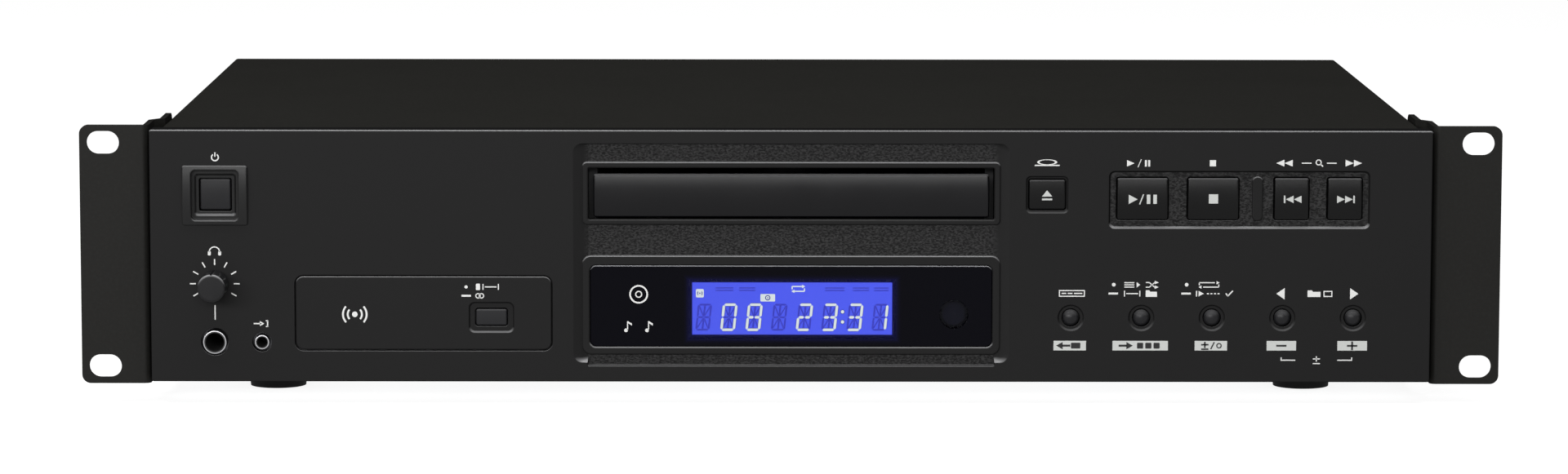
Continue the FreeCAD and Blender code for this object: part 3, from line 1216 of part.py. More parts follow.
def power_bezel():
    front = PANEL_Y - BEZEL_PROUD
    back = PANEL_Y + BEZEL_DEPTH
    flange = crowned(POWER_X, POWER_Z, BEZEL_WIDTH, BEZEL_HEIGHT, BEZEL_CORNER, front, PANEL_Y,
                     BEZEL_EDGE, BEZEL_CROWN)
    collar = plate(POWER_X, POWER_Z, COLLAR_WIDTH, COLLAR_HEIGHT, BEZEL_COLLAR_CORNER, PANEL_Y - JOIN, back)
    pocket_floor = front + POCKET_DEPTH
    wide = 2 * FUNNEL_MARGIN
    narrow = 2 * FUNNEL_STEP
    mouth = outline(POWER_X, POWER_Z, POWER_HOLE_WIDTH + wide, POWER_HOLE_HEIGHT + wide, FUNNEL_CORNER,
                    pocket_floor)
    throat = outline(POWER_X, POWER_Z, POWER_HOLE_WIDTH + narrow, POWER_HOLE_HEIGHT + narrow, KEY_CORNER,
                     pocket_floor + FUNNEL_MARGIN - FUNNEL_STEP)
    cuts = [
        plate(POWER_X, POWER_Z, POCKET_WIDTH, POCKET_HEIGHT, POCKET_CORNER, front - 1, pocket_floor),
        sloped(mouth, throat),
        plate(POWER_X, POWER_Z, POWER_HOLE_WIDTH, POWER_HOLE_HEIGHT, KEY_CORNER, pocket_floor, back + 1),
    ]
    bezel = less(joined([flange, collar]), cuts)
    face = crown_face(bezel, BEZEL_CROWN)
    rim = [wire for wire in face.Wires if not wire.isSame(face.OuterWire)][0]
    save("power_bezel", bezel.makeFillet(POCKET_EDGE, rim.Edges))


def key_solid(x, z, width, height, cap_y, flange_y, stem_tip, stem_radius):
    cap = crowned(x, z, width, height, KEY_CORNER, cap_y, flange_y + FLANGE_THICK, KEY_EDGE)
    flange = slab(x, z, width + 2 * FLANGE_LIP, height + 2 * FLANGE_LIP, flange_y, flange_y + FLANGE_THICK)
    stem = rod_y(x, z, stem_radius, flange_y, stem_tip)
    return joined([cap, flange, stem])


def keys():
    for name, x, z, width, height in key_places():
        proud = TRANSPORT_PROUD if name in TRANSPORT_KEYS else 0.0
        save(name, key_solid(x, z, width, height, PANEL_Y - proud, FLANGE_Y, STEM_TIP, STEM_RADIUS))
    save("device_button", key_solid(DEVICE_KEY_X, DEVICE_KEY_Z, DEVICE_KEY_WIDTH, DEVICE_KEY_HEIGHT,
                                    PANEL_Y + DEVICE_KEY_SUNK, FLANGE_Y, STEM_TIP, STEM_RADIUS))
    dome_radius = (ROUND_KEY_RADIUS ** 2 + ROUND_KEY_DOME ** 2) / (2 * ROUND_KEY_DOME)
    for name, x in round_key_places():
        cap = rod_y(x, ROUND_KEY_Z, ROUND_KEY_RADIUS, PANEL_Y, FLANGE_Y + FLANGE_THICK)
        cap = cap.common(Part.makeSphere(dome_radius, Vector(x, PANEL_Y + dome_radius, ROUND_KEY_Z)).fuse(
            rod_y(x, ROUND_KEY_Z, ROUND_KEY_RADIUS + 1, PANEL_Y + ROUND_KEY_DOME, FLANGE_Y + 2)))
        flange = rod_y(x, ROUND_KEY_Z, ROUND_KEY_RADIUS + FLANGE_LIP, FLANGE_Y, FLANGE_Y + FLANGE_THICK)
        stem = rod_y(x, ROUND_KEY_Z, STEM_RADIUS, FLANGE_Y, STEM_TIP)
        save(name, joined([cap, flange, stem]))


def power_button_and_switch():
    flange_y = PANEL_Y + BEZEL_DEPTH + FLANGE_GAP
    well_y = FRONT_WALL_BACK + POWER_WELL
    save("power_button", key_solid(POWER_X, POWER_Z, POWER_KEY_WIDTH, POWER_KEY_HEIGHT,
                                   PANEL_Y + POWER_KEY_SUNK, flange_y, well_y + STEM_DIP, POWER_STEM))
    size = POWER_SWITCH_SIZE
    inside = size - 2 * SWITCH_WALL
    body = joined([slab(POWER_X, POWER_Z, size, size, FRONT_WALL_BACK, FRONT_WALL_BACK + SWITCH_BOX_DEPTH),
                   slab(POWER_X, POWER_Z, size + 2 * SWITCH_TAB, size + 2 * SWITCH_TAB_Z,
                        FRONT_WALL_BACK, FRONT_WALL_BACK + SHEET)])
    cuts = [slab(POWER_X, POWER_Z, inside, inside, FRONT_WALL_BACK - 1, well_y),
            rod_y(POWER_X, POWER_Z, POWER_STEM + SWITCH_CLEARANCE, well_y, well_y + POWER_TRAVEL + STEM_ROOM)]
    save("power_switch", less(body, cuts))


# Boards behind the front panel

def switch_places():
    places = [(x, z) for name, x, z, width, height in key_places()]
    places += [(x, ROUND_KEY_Z) for name, x in round_key_places()]
    places.append((DEVICE_KEY_X, DEVICE_KEY_Z))
    return places


def front_boards():
    low = block(BOARD_LEFT, BOARD_RIGHT, BOARD_Y, BOARD_BACK, BOARD_BOTTOM, BOARD_TOP)
    high = block(KEY_BOARD_LEFT, BOARD_RIGHT, BOARD_Y, BOARD_BACK, BOARD_BOTTOM, KEY_BOARD_TOP)
    holes = [rod_y(x, z, SCREW_HOLE, BOARD_Y - 1, BOARD_BACK + 1) for x, z in control_boss_places()]
    save("control_board", less(joined([low, high]), holes))
    board = block(PHONES_BOARD_LEFT, BOARD_LEFT - BOARD_GAP, BOARD_Y, BOARD_BACK, BOARD_BOTTOM, BOARD_TOP)
    cuts = [rod_y(x, z, SCREW_HOLE, BOARD_Y - 1, BOARD_BACK + 1) for x, z in phones_boss_places()]
    for x, z, size in ((PHONES_X, PHONES_Z, PHONES_BODY), (AUX_X, AUX_Z, AUX_BODY)):
        cuts.append(slab(x, z, size, size, BOARD_Y - 1, BOARD_BACK + 1))
    save("phones_board", less(board, cuts))
    switches = []
    for x, z in switch_places():
        housing = slab(x, z, SWITCH_SIZE, SWITCH_SIZE, SWITCH_Y, BOARD_Y)
        well = rod_y(x, z, STEM_RADIUS + SWITCH_CLEARANCE, SWITCH_Y - 1, SWITCH_Y + SWITCH_WELL)
        switches.append(housing.cut(well))
    save("tact_switches", *switches)


def display_parts():
    module_y = GLASS_Y + LCD_THICK
    save("lcd_glass", slab(LCD_SHIFT, LCD_Z, LCD_WIDTH, LCD_HEIGHT, GLASS_Y, module_y))
    save("lcd_module", slab(LCD_SHIFT, LCD_Z, LCD_WIDTH + 2 * LCD_FRAME, LCD_HEIGHT + 2 * LCD_FRAME,
                            module_y, BOARD_Y))
    receiver_y = GLASS_Y + RECEIVER_SETBACK
    body = slab(RECEIVER_X, RECEIVER_Z, RECEIVER_SIZE, RECEIVER_SIZE, receiver_y, BOARD_Y)
    lens = Part.makeSphere(RECEIVER_LENS, Vector(RECEIVER_X, receiver_y, RECEIVER_Z))
    save("ir_receiver", joined([body, lens]))


def knob_and_jacks():
    knob_front = PANEL_Y - KNOB_PROUD
    knob_back = PANEL_Y - KNOB_GAP
    bore_end = knob_front + KNOB_FACE
    knob = rod_y(KNOB_X, KNOB_Z, KNOB_RADIUS, knob_front, knob_back)
    rim = [edge for edge in knob.Edges if all(abs(v.Y - knob_front) < 0.001 for v in edge.Vertexes)]
    knob = knob.makeFillet(KNOB_EDGE, rim)
    knob = less(knob, [
        slab(KNOB_X, KNOB_Z + KNOB_RADIUS, KNOB_MARK_WIDTH, 2 * KNOB_MARK_DEPTH,
             knob_front - 1, knob_back + 1),
        rod_y(KNOB_X, KNOB_Z, SHAFT_RADIUS, bore_end, knob_back + 1)])
    save("phones_knob", knob)
    pot_front = WALL_BACK + POT_GAP
    pot_body = BOARD_Y - POT_BODY_DEPTH
    shaft_end = BOARD_Y - SHAFT_SHORT
    save("pot_shaft", rod_y(KNOB_X, KNOB_Z, SHAFT_RADIUS, bore_end, shaft_end))
    pot = joined([rod_y(KNOB_X, KNOB_Z, SHAFT_RADIUS + POT_BUSHING, pot_front, pot_body + JOIN),
                  slab(KNOB_X, KNOB_Z, POT_BODY, POT_BODY, pot_body, BOARD_Y)])
    bore = rod_y(KNOB_X, KNOB_Z, SHAFT_RADIUS + PIVOT_GAP, pot_front - 1, shaft_end + POT_GAP)
    save("volume_pot", pot.cut(bore))
    jack("phones_jack", PHONES_X, PHONES_Z, PHONES_RING, PHONES_BORE, PHONES_PROUD,
         PHONES_BORE_DEPTH, PHONES_BODY)
    jack("aux_jack", AUX_X, AUX_Z, AUX_RING, AUX_BORE, AUX_PROUD, AUX_BORE_DEPTH, AUX_BODY)


def jack(node, x, z, ring, bore, proud, bore_depth, body_size):
    front = PANEL_Y - proud
    body_y = WALL_BACK + JACK_BODY_GAP
    nose = rod_y(x, z, ring, front, body_y + JOIN)
    rim = [edge for edge in nose.Edges if all(abs(v.Y - front) < 0.001 for v in edge.Vertexes)]
    nose = nose.makeFillet((ring - bore) * 0.4, rim)
    body = slab(x, z, body_size, body_size, body_y, front + bore_depth + JACK_END)
    save(node, joined([nose, body]).cut(rod_y(x, z, bore, front - 1, front + bore_depth)))


# Disc tray and door

def disc_tray():
    pieces = [block(-TRAY_HALF, TRAY_HALF, TRAY_FRONT, TRAY_BACK, TRAY_PLATE, TRAY_TOP)]
    for side in (-1, 1):
        low, high = sorted((side * (TRAY_HALF - SKIRT_THICK), side * TRAY_HALF))
        pieces.append(block(low, high, TRAY_FRONT, TRAY_BACK, TRAY_BOTTOM, TRAY_PLATE))
    pieces.append(rack(RACK_PITCH_X, RACK_BAR, RACK_MODULE, BACKLASH, GEAR_Y, TRAY_FRONT + RACK_START,
                       TRAY_BACK - RACK_END, TRAY_BOTTOM - RACK_DROP, TRAY_PLATE))
    tray = joined(pieces)
    slot = TRAY_SLOT / 2
    cuts = [rod_z(0, SPINDLE_Y, WELL_RADIUS, WELL_FLOOR, TRAY_TOP + 1),
            rod_z(0, SPINDLE_Y, SMALL_WELL_RADIUS, WELL_FLOOR - SMALL_WELL_DROP, TRAY_TOP + 1),
            rod_z(0, SPINDLE_Y, slot, TRAY_PLATE - 1, TRAY_TOP + 1),
            block(-slot, slot, SPINDLE_Y, TRAY_BACK + 1, TRAY_PLATE - 1, TRAY_TOP + 1)]
    outer = WELL_RADIUS - TAIL_POCKET_INSET
    for side in (-1, 1):
        low, high = sorted((side * (outer - TAIL_POCKET_WIDTH), side * outer))
        cuts.append(block(low, high, SPINDLE_Y + TAIL_POCKET_START, TRAY_BACK - TAIL_POCKET_END,
                          WELL_FLOOR, TRAY_TOP + 1))
    save("disc_tray", less(tray, cuts))
    save("tray_door", crowned(0, DOOR_Z, DOOR_WIDTH, DOOR_HEIGHT, DOOR_CORNER, DOOR_Y, TRAY_FRONT, DOOR_EDGE))


# Loader

def loader_frame():
    front = LOADER_FRONT
    back = LOADER_BACK
    pieces = [block(-LOADER_OUTER, LOADER_OUTER, front, back, LOADER_FLOOR, LOADER_FLOOR_TOP)]
    rail_top = TRAY_BOTTOM - SLIDE_GAP
    lip_bottom = TRAY_TOP + SLIDE_GAP
    for side in (-1, 1):
        low, high = sorted((side * LOADER_INNER, side * LOADER_OUTER))
        pieces.append(block(low, high, front, back, LOADER_FLOOR, LOADER_TOP))
        low, high = sorted((side * (LOADER_INNER - RAIL_WIDTH), side * (LOADER_INNER + JOIN)))
        pieces.append(block(low, high, front, back, rail_top - RAIL_THICK, rail_top))
        pieces.append(block(low, high, front, front + LIP_LENGTH, lip_bottom, lip_bottom + LIP_THICK))
        low, high = sorted((side * LUG_X, side * (LUG_X + LUG_THICK)))
        pieces.append(block(low, high, PIVOT_Y - LUG_LENGTH / 2, PIVOT_Y + LUG_LENGTH / 2,
                            LOADER_FLOOR, DECK_TOP + LUG_RISE))
        low, high = sorted((side * (LOADER_OUTER - LEG_SIZE), side * LOADER_OUTER))
        leg_y = front + LEG_SETBACK
        pieces.append(block(low, high, leg_y, leg_y + LEG_SIZE, FLOOR_TOP, LOADER_FLOOR_TOP))
        pieces.append(block(low, high, back - LEG_SIZE, back, FLOOR_TOP, LOADER_FLOOR_TOP))
    pieces.append(block(-LOADER_OUTER, LOADER_OUTER, back - LOADER_WALL, back, LOADER_FLOOR, rail_top))
    pieces.append(rod_z(GEAR_X, GEAR_Y, AXLE_RADIUS, LOADER_FLOOR, GEAR_TOP))
    pieces.append(rod_z(GEAR_X, GEAR_Y, POST_RADIUS, LOADER_FLOOR, PULLEY_BOTTOM - PULLEY_REST))
    frame = joined(pieces)
    inside = (DECK_WIDTH + DECK_SIDE_GAP) / 2
    cuts = [block(-inside, inside, DECK_FRONT - DECK_ROOM, DECK_BACK + 2 * DECK_ROOM,
                  LOADER_FLOOR - 1, LOADER_FLOOR_TOP + 1)]
    cuts.append(rod_x(PIVOT_Y, DECK_BOTTOM, PIVOT_RADIUS + PIVOT_GAP,
                      -LUG_X - LUG_THICK - 1, LUG_X + LUG_THICK + 1))
    cuts.append(rod_z(MOTOR_X, GEAR_Y, MOTOR_BOSS + MOTOR_BOSS_GAP, LOADER_FLOOR - 1, LOADER_FLOOR_TOP + 1))
    save("loader_frame", less(frame, cuts))


def clamp_bridge():
    front = SPINDLE_Y - BRIDGE_DEPTH / 2
    bridge = block(-LOADER_OUTER, LOADER_OUTER, front, front + BRIDGE_DEPTH, LOADER_TOP, BRIDGE_TOP)
    neck = rod_z(0, SPINDLE_Y, PUCK_NECK + PUCK_NECK_GAP, LOADER_TOP - 1, BRIDGE_TOP + 1)
    save("clamp_bridge", bridge.cut(neck))
    flange_z = BRIDGE_TOP + PUCK_PLAY
    body_top = LOADER_TOP - PUCK_BELOW_BRIDGE
    puck = joined([
        rod_z(0, SPINDLE_Y, PUCK_RADIUS, PUCK_BOTTOM, body_top),
        rod_z(0, SPINDLE_Y, PUCK_NECK, body_top - JOIN, flange_z + JOIN),
        rod_z(0, SPINDLE_Y, PUCK_FLANGE, flange_z, flange_z + PUCK_FLANGE_THICK)])
    save("clamp_puck", puck.cut(rod_z(0, SPINDLE_Y, HUB_RADIUS + PUCK_CAVITY_GAP, PUCK_BOTTOM - 1,
                                      DISC_SEAT_Z + HUB_HEIGHT + PUCK_CAVITY_GAP)))


def belt_drive():
    belt_z = PULLEY_BOTTOM + (PULLEY_HEIGHT - BELT_HEIGHT) / 2
    pulley_top = PULLEY_BOTTOM + PULLEY_HEIGHT
    gear_bottom = GEAR_TOP - GEAR_THICK
    save("drive_gear", grooved_pulley(GEAR_X, GEAR_Y, PULLEY_GROOVE, [
        gear(GEAR_X, GEAR_Y, RACK_MODULE, DRIVE_TEETH, BACKLASH, gear_bottom, GEAR_TOP, math.pi),
        rod_z(GEAR_X, GEAR_Y, GEAR_HUB, PULLEY_BOTTOM, gear_bottom + JOIN)],
        AXLE_RADIUS + PIVOT_GAP, GEAR_TOP))
    save("motor_pulley", grooved_pulley(MOTOR_X, GEAR_Y, MOTOR_GROOVE, [],
                                        MOTOR_SHAFT + PIVOT_GAP, pulley_top))
    inner = [PULLEY_GROOVE + BELT_GAP, MOTOR_GROOVE + BELT_GAP]
    loop = loop_round(GEAR_X, GEAR_Y, inner[0] + BELT_THICK, MOTOR_X, GEAR_Y, inner[1] + BELT_THICK,
                      belt_z, belt_z + BELT_HEIGHT)
    save("loading_belt", loop.cut(loop_round(GEAR_X, GEAR_Y, inner[0], MOTOR_X, GEAR_Y, inner[1],
                                             belt_z - 1, belt_z + BELT_HEIGHT + 1)))
    can = rod_z(MOTOR_X, GEAR_Y, MOTOR_RADIUS, LOADER_FLOOR - MOTOR_HEIGHT, LOADER_FLOOR)
    boss = rod_z(MOTOR_X, GEAR_Y, MOTOR_BOSS, LOADER_FLOOR - JOIN, LOADER_FLOOR_TOP + MOTOR_BOSS_GAP)
    shaft = rod_z(MOTOR_X, GEAR_Y, MOTOR_SHAFT, LOADER_FLOOR, pulley_top)
    save("loading_motor", joined([can, boss, shaft]))


def grooved_pulley(x, y, groove, extra, bore, bore_top):
    rim = groove + FLANGE_RISE
    side = (PULLEY_HEIGHT - BELT_HEIGHT) / 2 - BELT_GAP
    top = PULLEY_BOTTOM + PULLEY_HEIGHT
    wheel = joined([rod_z(x, y, groove, PULLEY_BOTTOM, top),
                    rod_z(x, y, rim, PULLEY_BOTTOM, PULLEY_BOTTOM + side),
                    rod_z(x, y, rim, top - side, top)] + extra)
    return wheel.cut(rod_z(x, y, bore, PULLEY_BOTTOM - 1, bore_top + 1))


# Traverse deck

def traverse_deck():
    half = DECK_WIDTH / 2
    rod_bottom = ROD_Z - ROD_BLOCK_DROP
    shelf_bottom = SHELF_TOP - SHELF_THICK
    shelf_front = SLED_Y - SHELF_HALF
    shelf_back = SLED_Y + SHELF_HALF
    pieces = [block(-half, half, DECK_FRONT, DECK_BACK, DECK_BOTTOM, DECK_TOP)]
    for side in (-1, 1):
        x = side * ROD_X
        for y0, y1 in ((ROD_FRONT - ROD_BLOCK, ROD_FRONT), (ROD_BACK, ROD_BACK + ROD_BLOCK)):
            pieces.append(block(x - ROD_BLOCK_HALF, x + ROD_BLOCK_HALF, y0, y1, rod_bottom, DECK_TOP))
        low, high = sorted((side * (half - JOIN), side * (LUG_X + LUG_THICK)))
        pieces.append(rod_x(PIVOT_Y, DECK_BOTTOM, PIVOT_RADIUS, low, high))
    pieces.append(block(SLED_X - SHELF_HALF, half, shelf_front, shelf_back, shelf_bottom, SHELF_TOP))
    pieces.append(block(half - SHELF_WALL, half, shelf_front, shelf_back, shelf_bottom, DECK_TOP))
    deck = joined(pieces)
    window = ROD_X + ROD_ROOM
    rods = [rod_y(side * ROD_X, ROD_Z, ROD_RADIUS, ROD_FRONT - ROD_SEAT, ROD_BACK + ROD_SEAT)
            for side in (-1, 1)]
    cuts = [block(-window, window, ROD_FRONT, ROD_BACK, DECK_BOTTOM - 1, DECK_TOP + 1),
            rod_z(0, SPINDLE_Y, HUB_NECK + SHAFT_ROOM, DECK_BOTTOM - 1, DECK_TOP + 1),
            rod_z(SLED_X, SLED_Y, MOTOR_SHAFT + SHAFT_ROOM, shelf_bottom - 1, SHELF_TOP + 1)]
    save("traverse_plate", less(deck, cuts + rods))
    save("guide_rods", *rods)
    motor_bottom = DECK_BOTTOM - SPINDLE_MOTOR_HEIGHT
    spindle = rod_z(0, SPINDLE_Y, SPINDLE_MOTOR_RADIUS, motor_bottom, DECK_BOTTOM)
    spindle = spindle.cut(rod_z(0, SPINDLE_Y, MOTOR_SHAFT + PIVOT_GAP,
                                motor_bottom + MOTOR_END, DECK_BOTTOM + 1))
    sled = joined([rod_z(SLED_X, SLED_Y, SLED_MOTOR_RADIUS, shelf_bottom - SLED_MOTOR_HEIGHT, shelf_bottom),
                   rod_z(SLED_X, SLED_Y, MOTOR_SHAFT, shelf_bottom - JOIN, DECK_BOTTOM - SLED_PLAY)])
    save("deck_motors", spindle, sled)
    gear_bottom = SHELF_TOP + SLED_PLAY
    sled_gear = gear(SLED_X, SLED_Y, SLED_MODULE, SLED_TEETH, SLED_BACKLASH, gear_bottom,
                     DECK_BOTTOM - 2 * SLED_PLAY, math.pi)
    bore = rod_z(SLED_X, SLED_Y, MOTOR_SHAFT + PIVOT_GAP, gear_bottom - 1, DECK_BOTTOM)
    save("sled_gear", sled_gear.cut(bore))
    optical_pickup(rod_bottom)
    turntable(motor_bottom)


def optical_pickup(bottom):
    arm = ROD_X + PICKUP_ARM
    holder_top = PICKUP_TOP + LENS_RISE
    rack_top = bottom + SLED_RACK_HEIGHT
    body = block(-PICKUP_HALF, PICKUP_HALF, PICKUP_FRONT, PICKUP_BACK, bottom, PICKUP_TOP)
    arms = block(-arm, arm, PICKUP_FRONT, PICKUP_BACK, bottom, DECK_BOTTOM - SLIDE_GAP)
    rack_arm = block(ROD_X, SLED_RACK_X - SLED_MODULE, PICKUP_FRONT, PICKUP_BACK, bottom, rack_top)
    holder = rod_z(0, LENS_Y, LENS_RADIUS + LENS_HOLDER, PICKUP_TOP - JOIN, holder_top)
    lens = Part.makeSphere(LENS_RADIUS, Vector(0, LENS_Y, holder_top - LENS_RADIUS * 0.55))
    teeth = rack(SLED_RACK_X, SLED_RACK_BAR, SLED_MODULE, SLED_BACKLASH, SLED_Y, PICKUP_FRONT,
                 SLED_Y + SLED_OVERLAP, bottom, rack_top)
    pickup = joined([body, arms, rack_arm, holder, lens, teeth])
    bores = [rod_y(side * ROD_X, ROD_Z, ROD_RADIUS + PIVOT_GAP, PICKUP_FRONT - 1, PICKUP_BACK + 1)
             for side in (-1, 1)]
    save("optical_pickup", less(pickup, bores))


def turntable(motor_bottom):
    seat = DISC_SEAT_Z
    disc = rod_z(0, SPINDLE_Y, TURNTABLE_RADIUS, seat - TURNTABLE_THICK, seat)
    hub = rod_z(0, SPINDLE_Y, HUB_RADIUS, seat - JOIN, seat + HUB_STRAIGHT)
    cone = Part.makeCone(HUB_RADIUS, HUB_RADIUS - HUB_TAPER, HUB_HEIGHT - HUB_STRAIGHT,
                         Vector(0, SPINDLE_Y, seat + HUB_STRAIGHT))
    neck = rod_z(0, SPINDLE_Y, HUB_NECK, DECK_BOTTOM + SLIDE_GAP, seat - TURNTABLE_THICK + JOIN)
    shaft = rod_z(0, SPINDLE_Y, MOTOR_SHAFT, motor_bottom + MOTOR_END + SLIDE_GAP,
                  DECK_BOTTOM + SLIDE_GAP + JOIN)
    save("turntable", joined([disc, hub, cone, neck, shaft]))


# Power supply, main board, rear sockets and cables

def low_boards():
    front = LOW_BOARD_Y
    holes = [rod_z(x, y, SCREW_HOLE, STANDOFF_TOP - 1, LOW_BOARD_TOP + 1)
             for x, y in low_board_screw_places()]
    board = block(MAIN_BOARD_LEFT, MAIN_BOARD_RIGHT, front, MAIN_BACK, STANDOFF_TOP, LOW_BOARD_TOP)
    middle = (MAIN_BOARD_LEFT + MAIN_BOARD_RIGHT) / 2
    chips = []
    for x, y, size in ((middle, front + CHIP_FRONT, CHIP_LARGE),
                       (middle - CHIP_SPREAD, front + CHIP_FRONT + CHIP_ROW, CHIP_MIDDLE),
                       (middle + CHIP_SPREAD, front + CHIP_FRONT + CHIP_ROW, CHIP_MIDDLE),
                       (middle + CHIP_SPREAD, front + CHIP_FRONT, CHIP_SMALL)):
        half = size / 2
        chips.append(block(x - half, x + half, y - half, y + half,
                           LOW_BOARD_TOP, LOW_BOARD_TOP + CHIP_HEIGHT))
    plug_y = front + PLUG_SETBACK
    plug = block(RIBBON_X - PLUG_HALF, RIBBON_X + PLUG_HALF, plug_y, plug_y + PLUG_SIZE,
                 LOW_BOARD_TOP, LOW_BOARD_TOP + PLUG_SIZE)
    save("main_board", less(board, holes), plug, *chips)
    supply = block(SUPPLY_LEFT, SUPPLY_RIGHT, front, SUPPLY_BACK, STANDOFF_TOP, LOW_BOARD_TOP)
    sink_x = SUPPLY_RIGHT - HEAT_SINK_INSET
    sink_y = front + HEAT_SINK_FRONT
    sink_end = sink_y + HEAT_SINK_LENGTH
    fins = [block(sink_x + i * FIN_PITCH, sink_x + i * FIN_PITCH + FIN_THICK, sink_y, sink_end,
                  LOW_BOARD_TOP, LOW_BOARD_TOP + HEAT_SINK_HEIGHT) for i in range(FIN_COUNT)]
    web = block(sink_x, sink_x + (FIN_COUNT - 1) * FIN_PITCH + FIN_THICK, sink_y, sink_end,
                LOW_BOARD_TOP, LOW_BOARD_TOP + HEAT_SINK_BASE)
    save("power_supply_board", less(supply, holes), joined([web] + fins))
    cans = []
    for row, radius, height in ((1, CAN_RADIUS, CAN_HEIGHT), (2, SMALL_CAN_RADIUS, SMALL_CAN_HEIGHT)):
        for place in range(2):
            cans.append(rod_z(SUPPLY_LEFT + CAN_INSET + place * CAN_PITCH, front + row * CAN_ROW, radius,
                              LOW_BOARD_TOP, LOW_BOARD_TOP + height))
    save("filter_capacitors", *cans)


def transformer():
    x = TRANSFORMER_X
    y = EAR_Y + TRANSFORMER_FRONT
    half = CORE_WIDTH / 2
    depth = CORE_DEPTH / 2
    limb = CORE_LIMB / 2
    top = FLOOR_TOP + CORE_HEIGHT
    low = FLOOR_TOP + CORE_YOKE
    high = top - CORE_YOKE
    inner = half - CORE_FRAME
    core = block(x - half, x + half, y - depth, y + depth, FLOOR_TOP, top)
    tabs = block(x - half - CORE_TAB, x + half + CORE_TAB, y - CORE_TAB_DEPTH / 2, y + CORE_TAB_DEPTH / 2,
                 FLOOR_TOP, FLOOR_TOP + CORE_TAB_THICK)
    windows = [block(x - inner, x - limb, y - depth - 1, y + depth + 1, low, high),
               block(x + limb, x + inner, y - depth - 1, y + depth + 1, low, high)]
    core = less(joined([core, tabs]), windows)
    reach = inner - WINDING_GAP
    bulge = depth + WINDING_BULGE
    winding = block(x - reach, x + reach, y - bulge, y + bulge, low + WINDING_GAP, high - WINDING_GAP)
    corner_edges = [edge for edge in winding.Edges if abs(edge.Vertexes[0].Z - edge.Vertexes[1].Z) > 1.0]
    winding = winding.makeFillet(WINDING_CORNER, corner_edges)
    round_limb = limb + WINDING_GAP
    winding = winding.cut(block(x - round_limb, x + round_limb, y - depth - WINDING_GAP,
                                y + depth + WINDING_GAP, FLOOR_TOP, top))
    save("transformer", core, winding)


def barrel_places():
    return [ANALOG_X - ANALOG_PITCH / 2, ANALOG_X + ANALOG_PITCH / 2, COAX_X]


def barrel(x):
    # Sleeve, collar in the rear panel's hole, insulator and centre contact of one round socket
    start = REAR_INNER - JOIN
    end = REAR_Y + SOCKET_PROUD
    sleeve = rod_y(x, SOCKET_Z, BARREL_RADIUS, start, end)
    collar = rod_y(x, SOCKET_Z, COLLAR_RADIUS, start, REAR_FACE + COLLAR_PROUD)
    gap = rod_y(x, SOCKET_Z, BARREL_RADIUS - BARREL_WALL, REAR_Y, end + 1)
    core = rod_y(x, SOCKET_Z, CORE_RADIUS, start, end - CORE_SHORT)
    return joined([joined([sleeve, collar]).cut(gap), core])


def round_socket(places, case_left, case_right):
    # Insulating case with the sockets in it, bored for the centre pins of the plugs
    case = block(case_left, case_right, REAR_INNER - SOCKET_BLOCK_DEPTH, REAR_INNER, LOW_BOARD_TOP,
                 SOCKET_Z + SOCKET_BLOCK_TOP)
    end = REAR_Y + SOCKET_PROUD
    bores = [rod_y(x, SOCKET_Z, CORE_BORE, end - CORE_BORE_DEPTH, end + 1) for x in places]
    return less(joined([case] + [barrel(x) for x in places]), bores)


def rear_sockets():
    left, right, coax = barrel_places()
    half = SOCKET_BLOCK / 2
    save("rca_jacks", round_socket([left, right], left - half, right + half))
    case = block(OPTICAL_X - half, OPTICAL_X + half, REAR_INNER - SOCKET_BLOCK_DEPTH, REAR_INNER,
                 LOW_BOARD_TOP, SOCKET_Z + SOCKET_BLOCK_TOP)
    mouth = REAR_FACE + OPTICAL_PROUD
    optical = joined([case, slab(OPTICAL_X, SOCKET_Z, OPTICAL_SIZE, OPTICAL_SIZE, REAR_INNER - JOIN, mouth)])
    optical = optical.cut(slab(OPTICAL_X, SOCKET_Z, OPTICAL_SOCKET, OPTICAL_SOCKET,
                               mouth - OPTICAL_DEPTH, mouth + 1))
    save("digital_jacks", round_socket([coax], coax - half, coax + half), optical)


def ac_inlet():
    floor_y = INLET_MOUTH - INLET_SOCKET_DEPTH
    flange = plate(INLET_X, INLET_Z, INLET_FLANGE_WIDTH, INLET_FLANGE_HEIGHT, INLET_FLANGE_CORNER,
                   REAR_FACE, INLET_MOUTH)
    body = slab(INLET_X, INLET_Z, INLET_SOCKET_WIDTH + 2 * INLET_WALL, INLET_SOCKET_HEIGHT + 2 * INLET_WALL,
                floor_y - INLET_WALL, REAR_FACE + JOIN)
    shell = joined([flange, body])
    cuts = [slab(INLET_X, INLET_Z, INLET_SOCKET_WIDTH, INLET_SOCKET_HEIGHT, floor_y, INLET_MOUTH + 1)]
    cuts += [rod_y(x, z, SCREW_HOLE, REAR_FACE - 1, INLET_MOUTH + 1) for x, z in inlet_screw_places()]
    shell = less(shell, cuts)
    pins = [slab(INLET_X + dx, INLET_Z + dz, PIN_WIDTH, PIN_HEIGHT, floor_y - JOIN, floor_y + PIN_LENGTH)
            for dx, dz in ((-PIN_SPACING, -PIN_DROP), (PIN_SPACING, -PIN_DROP), (0, EARTH_RISE))]
    save("ac_inlet", joined([shell] + pins))


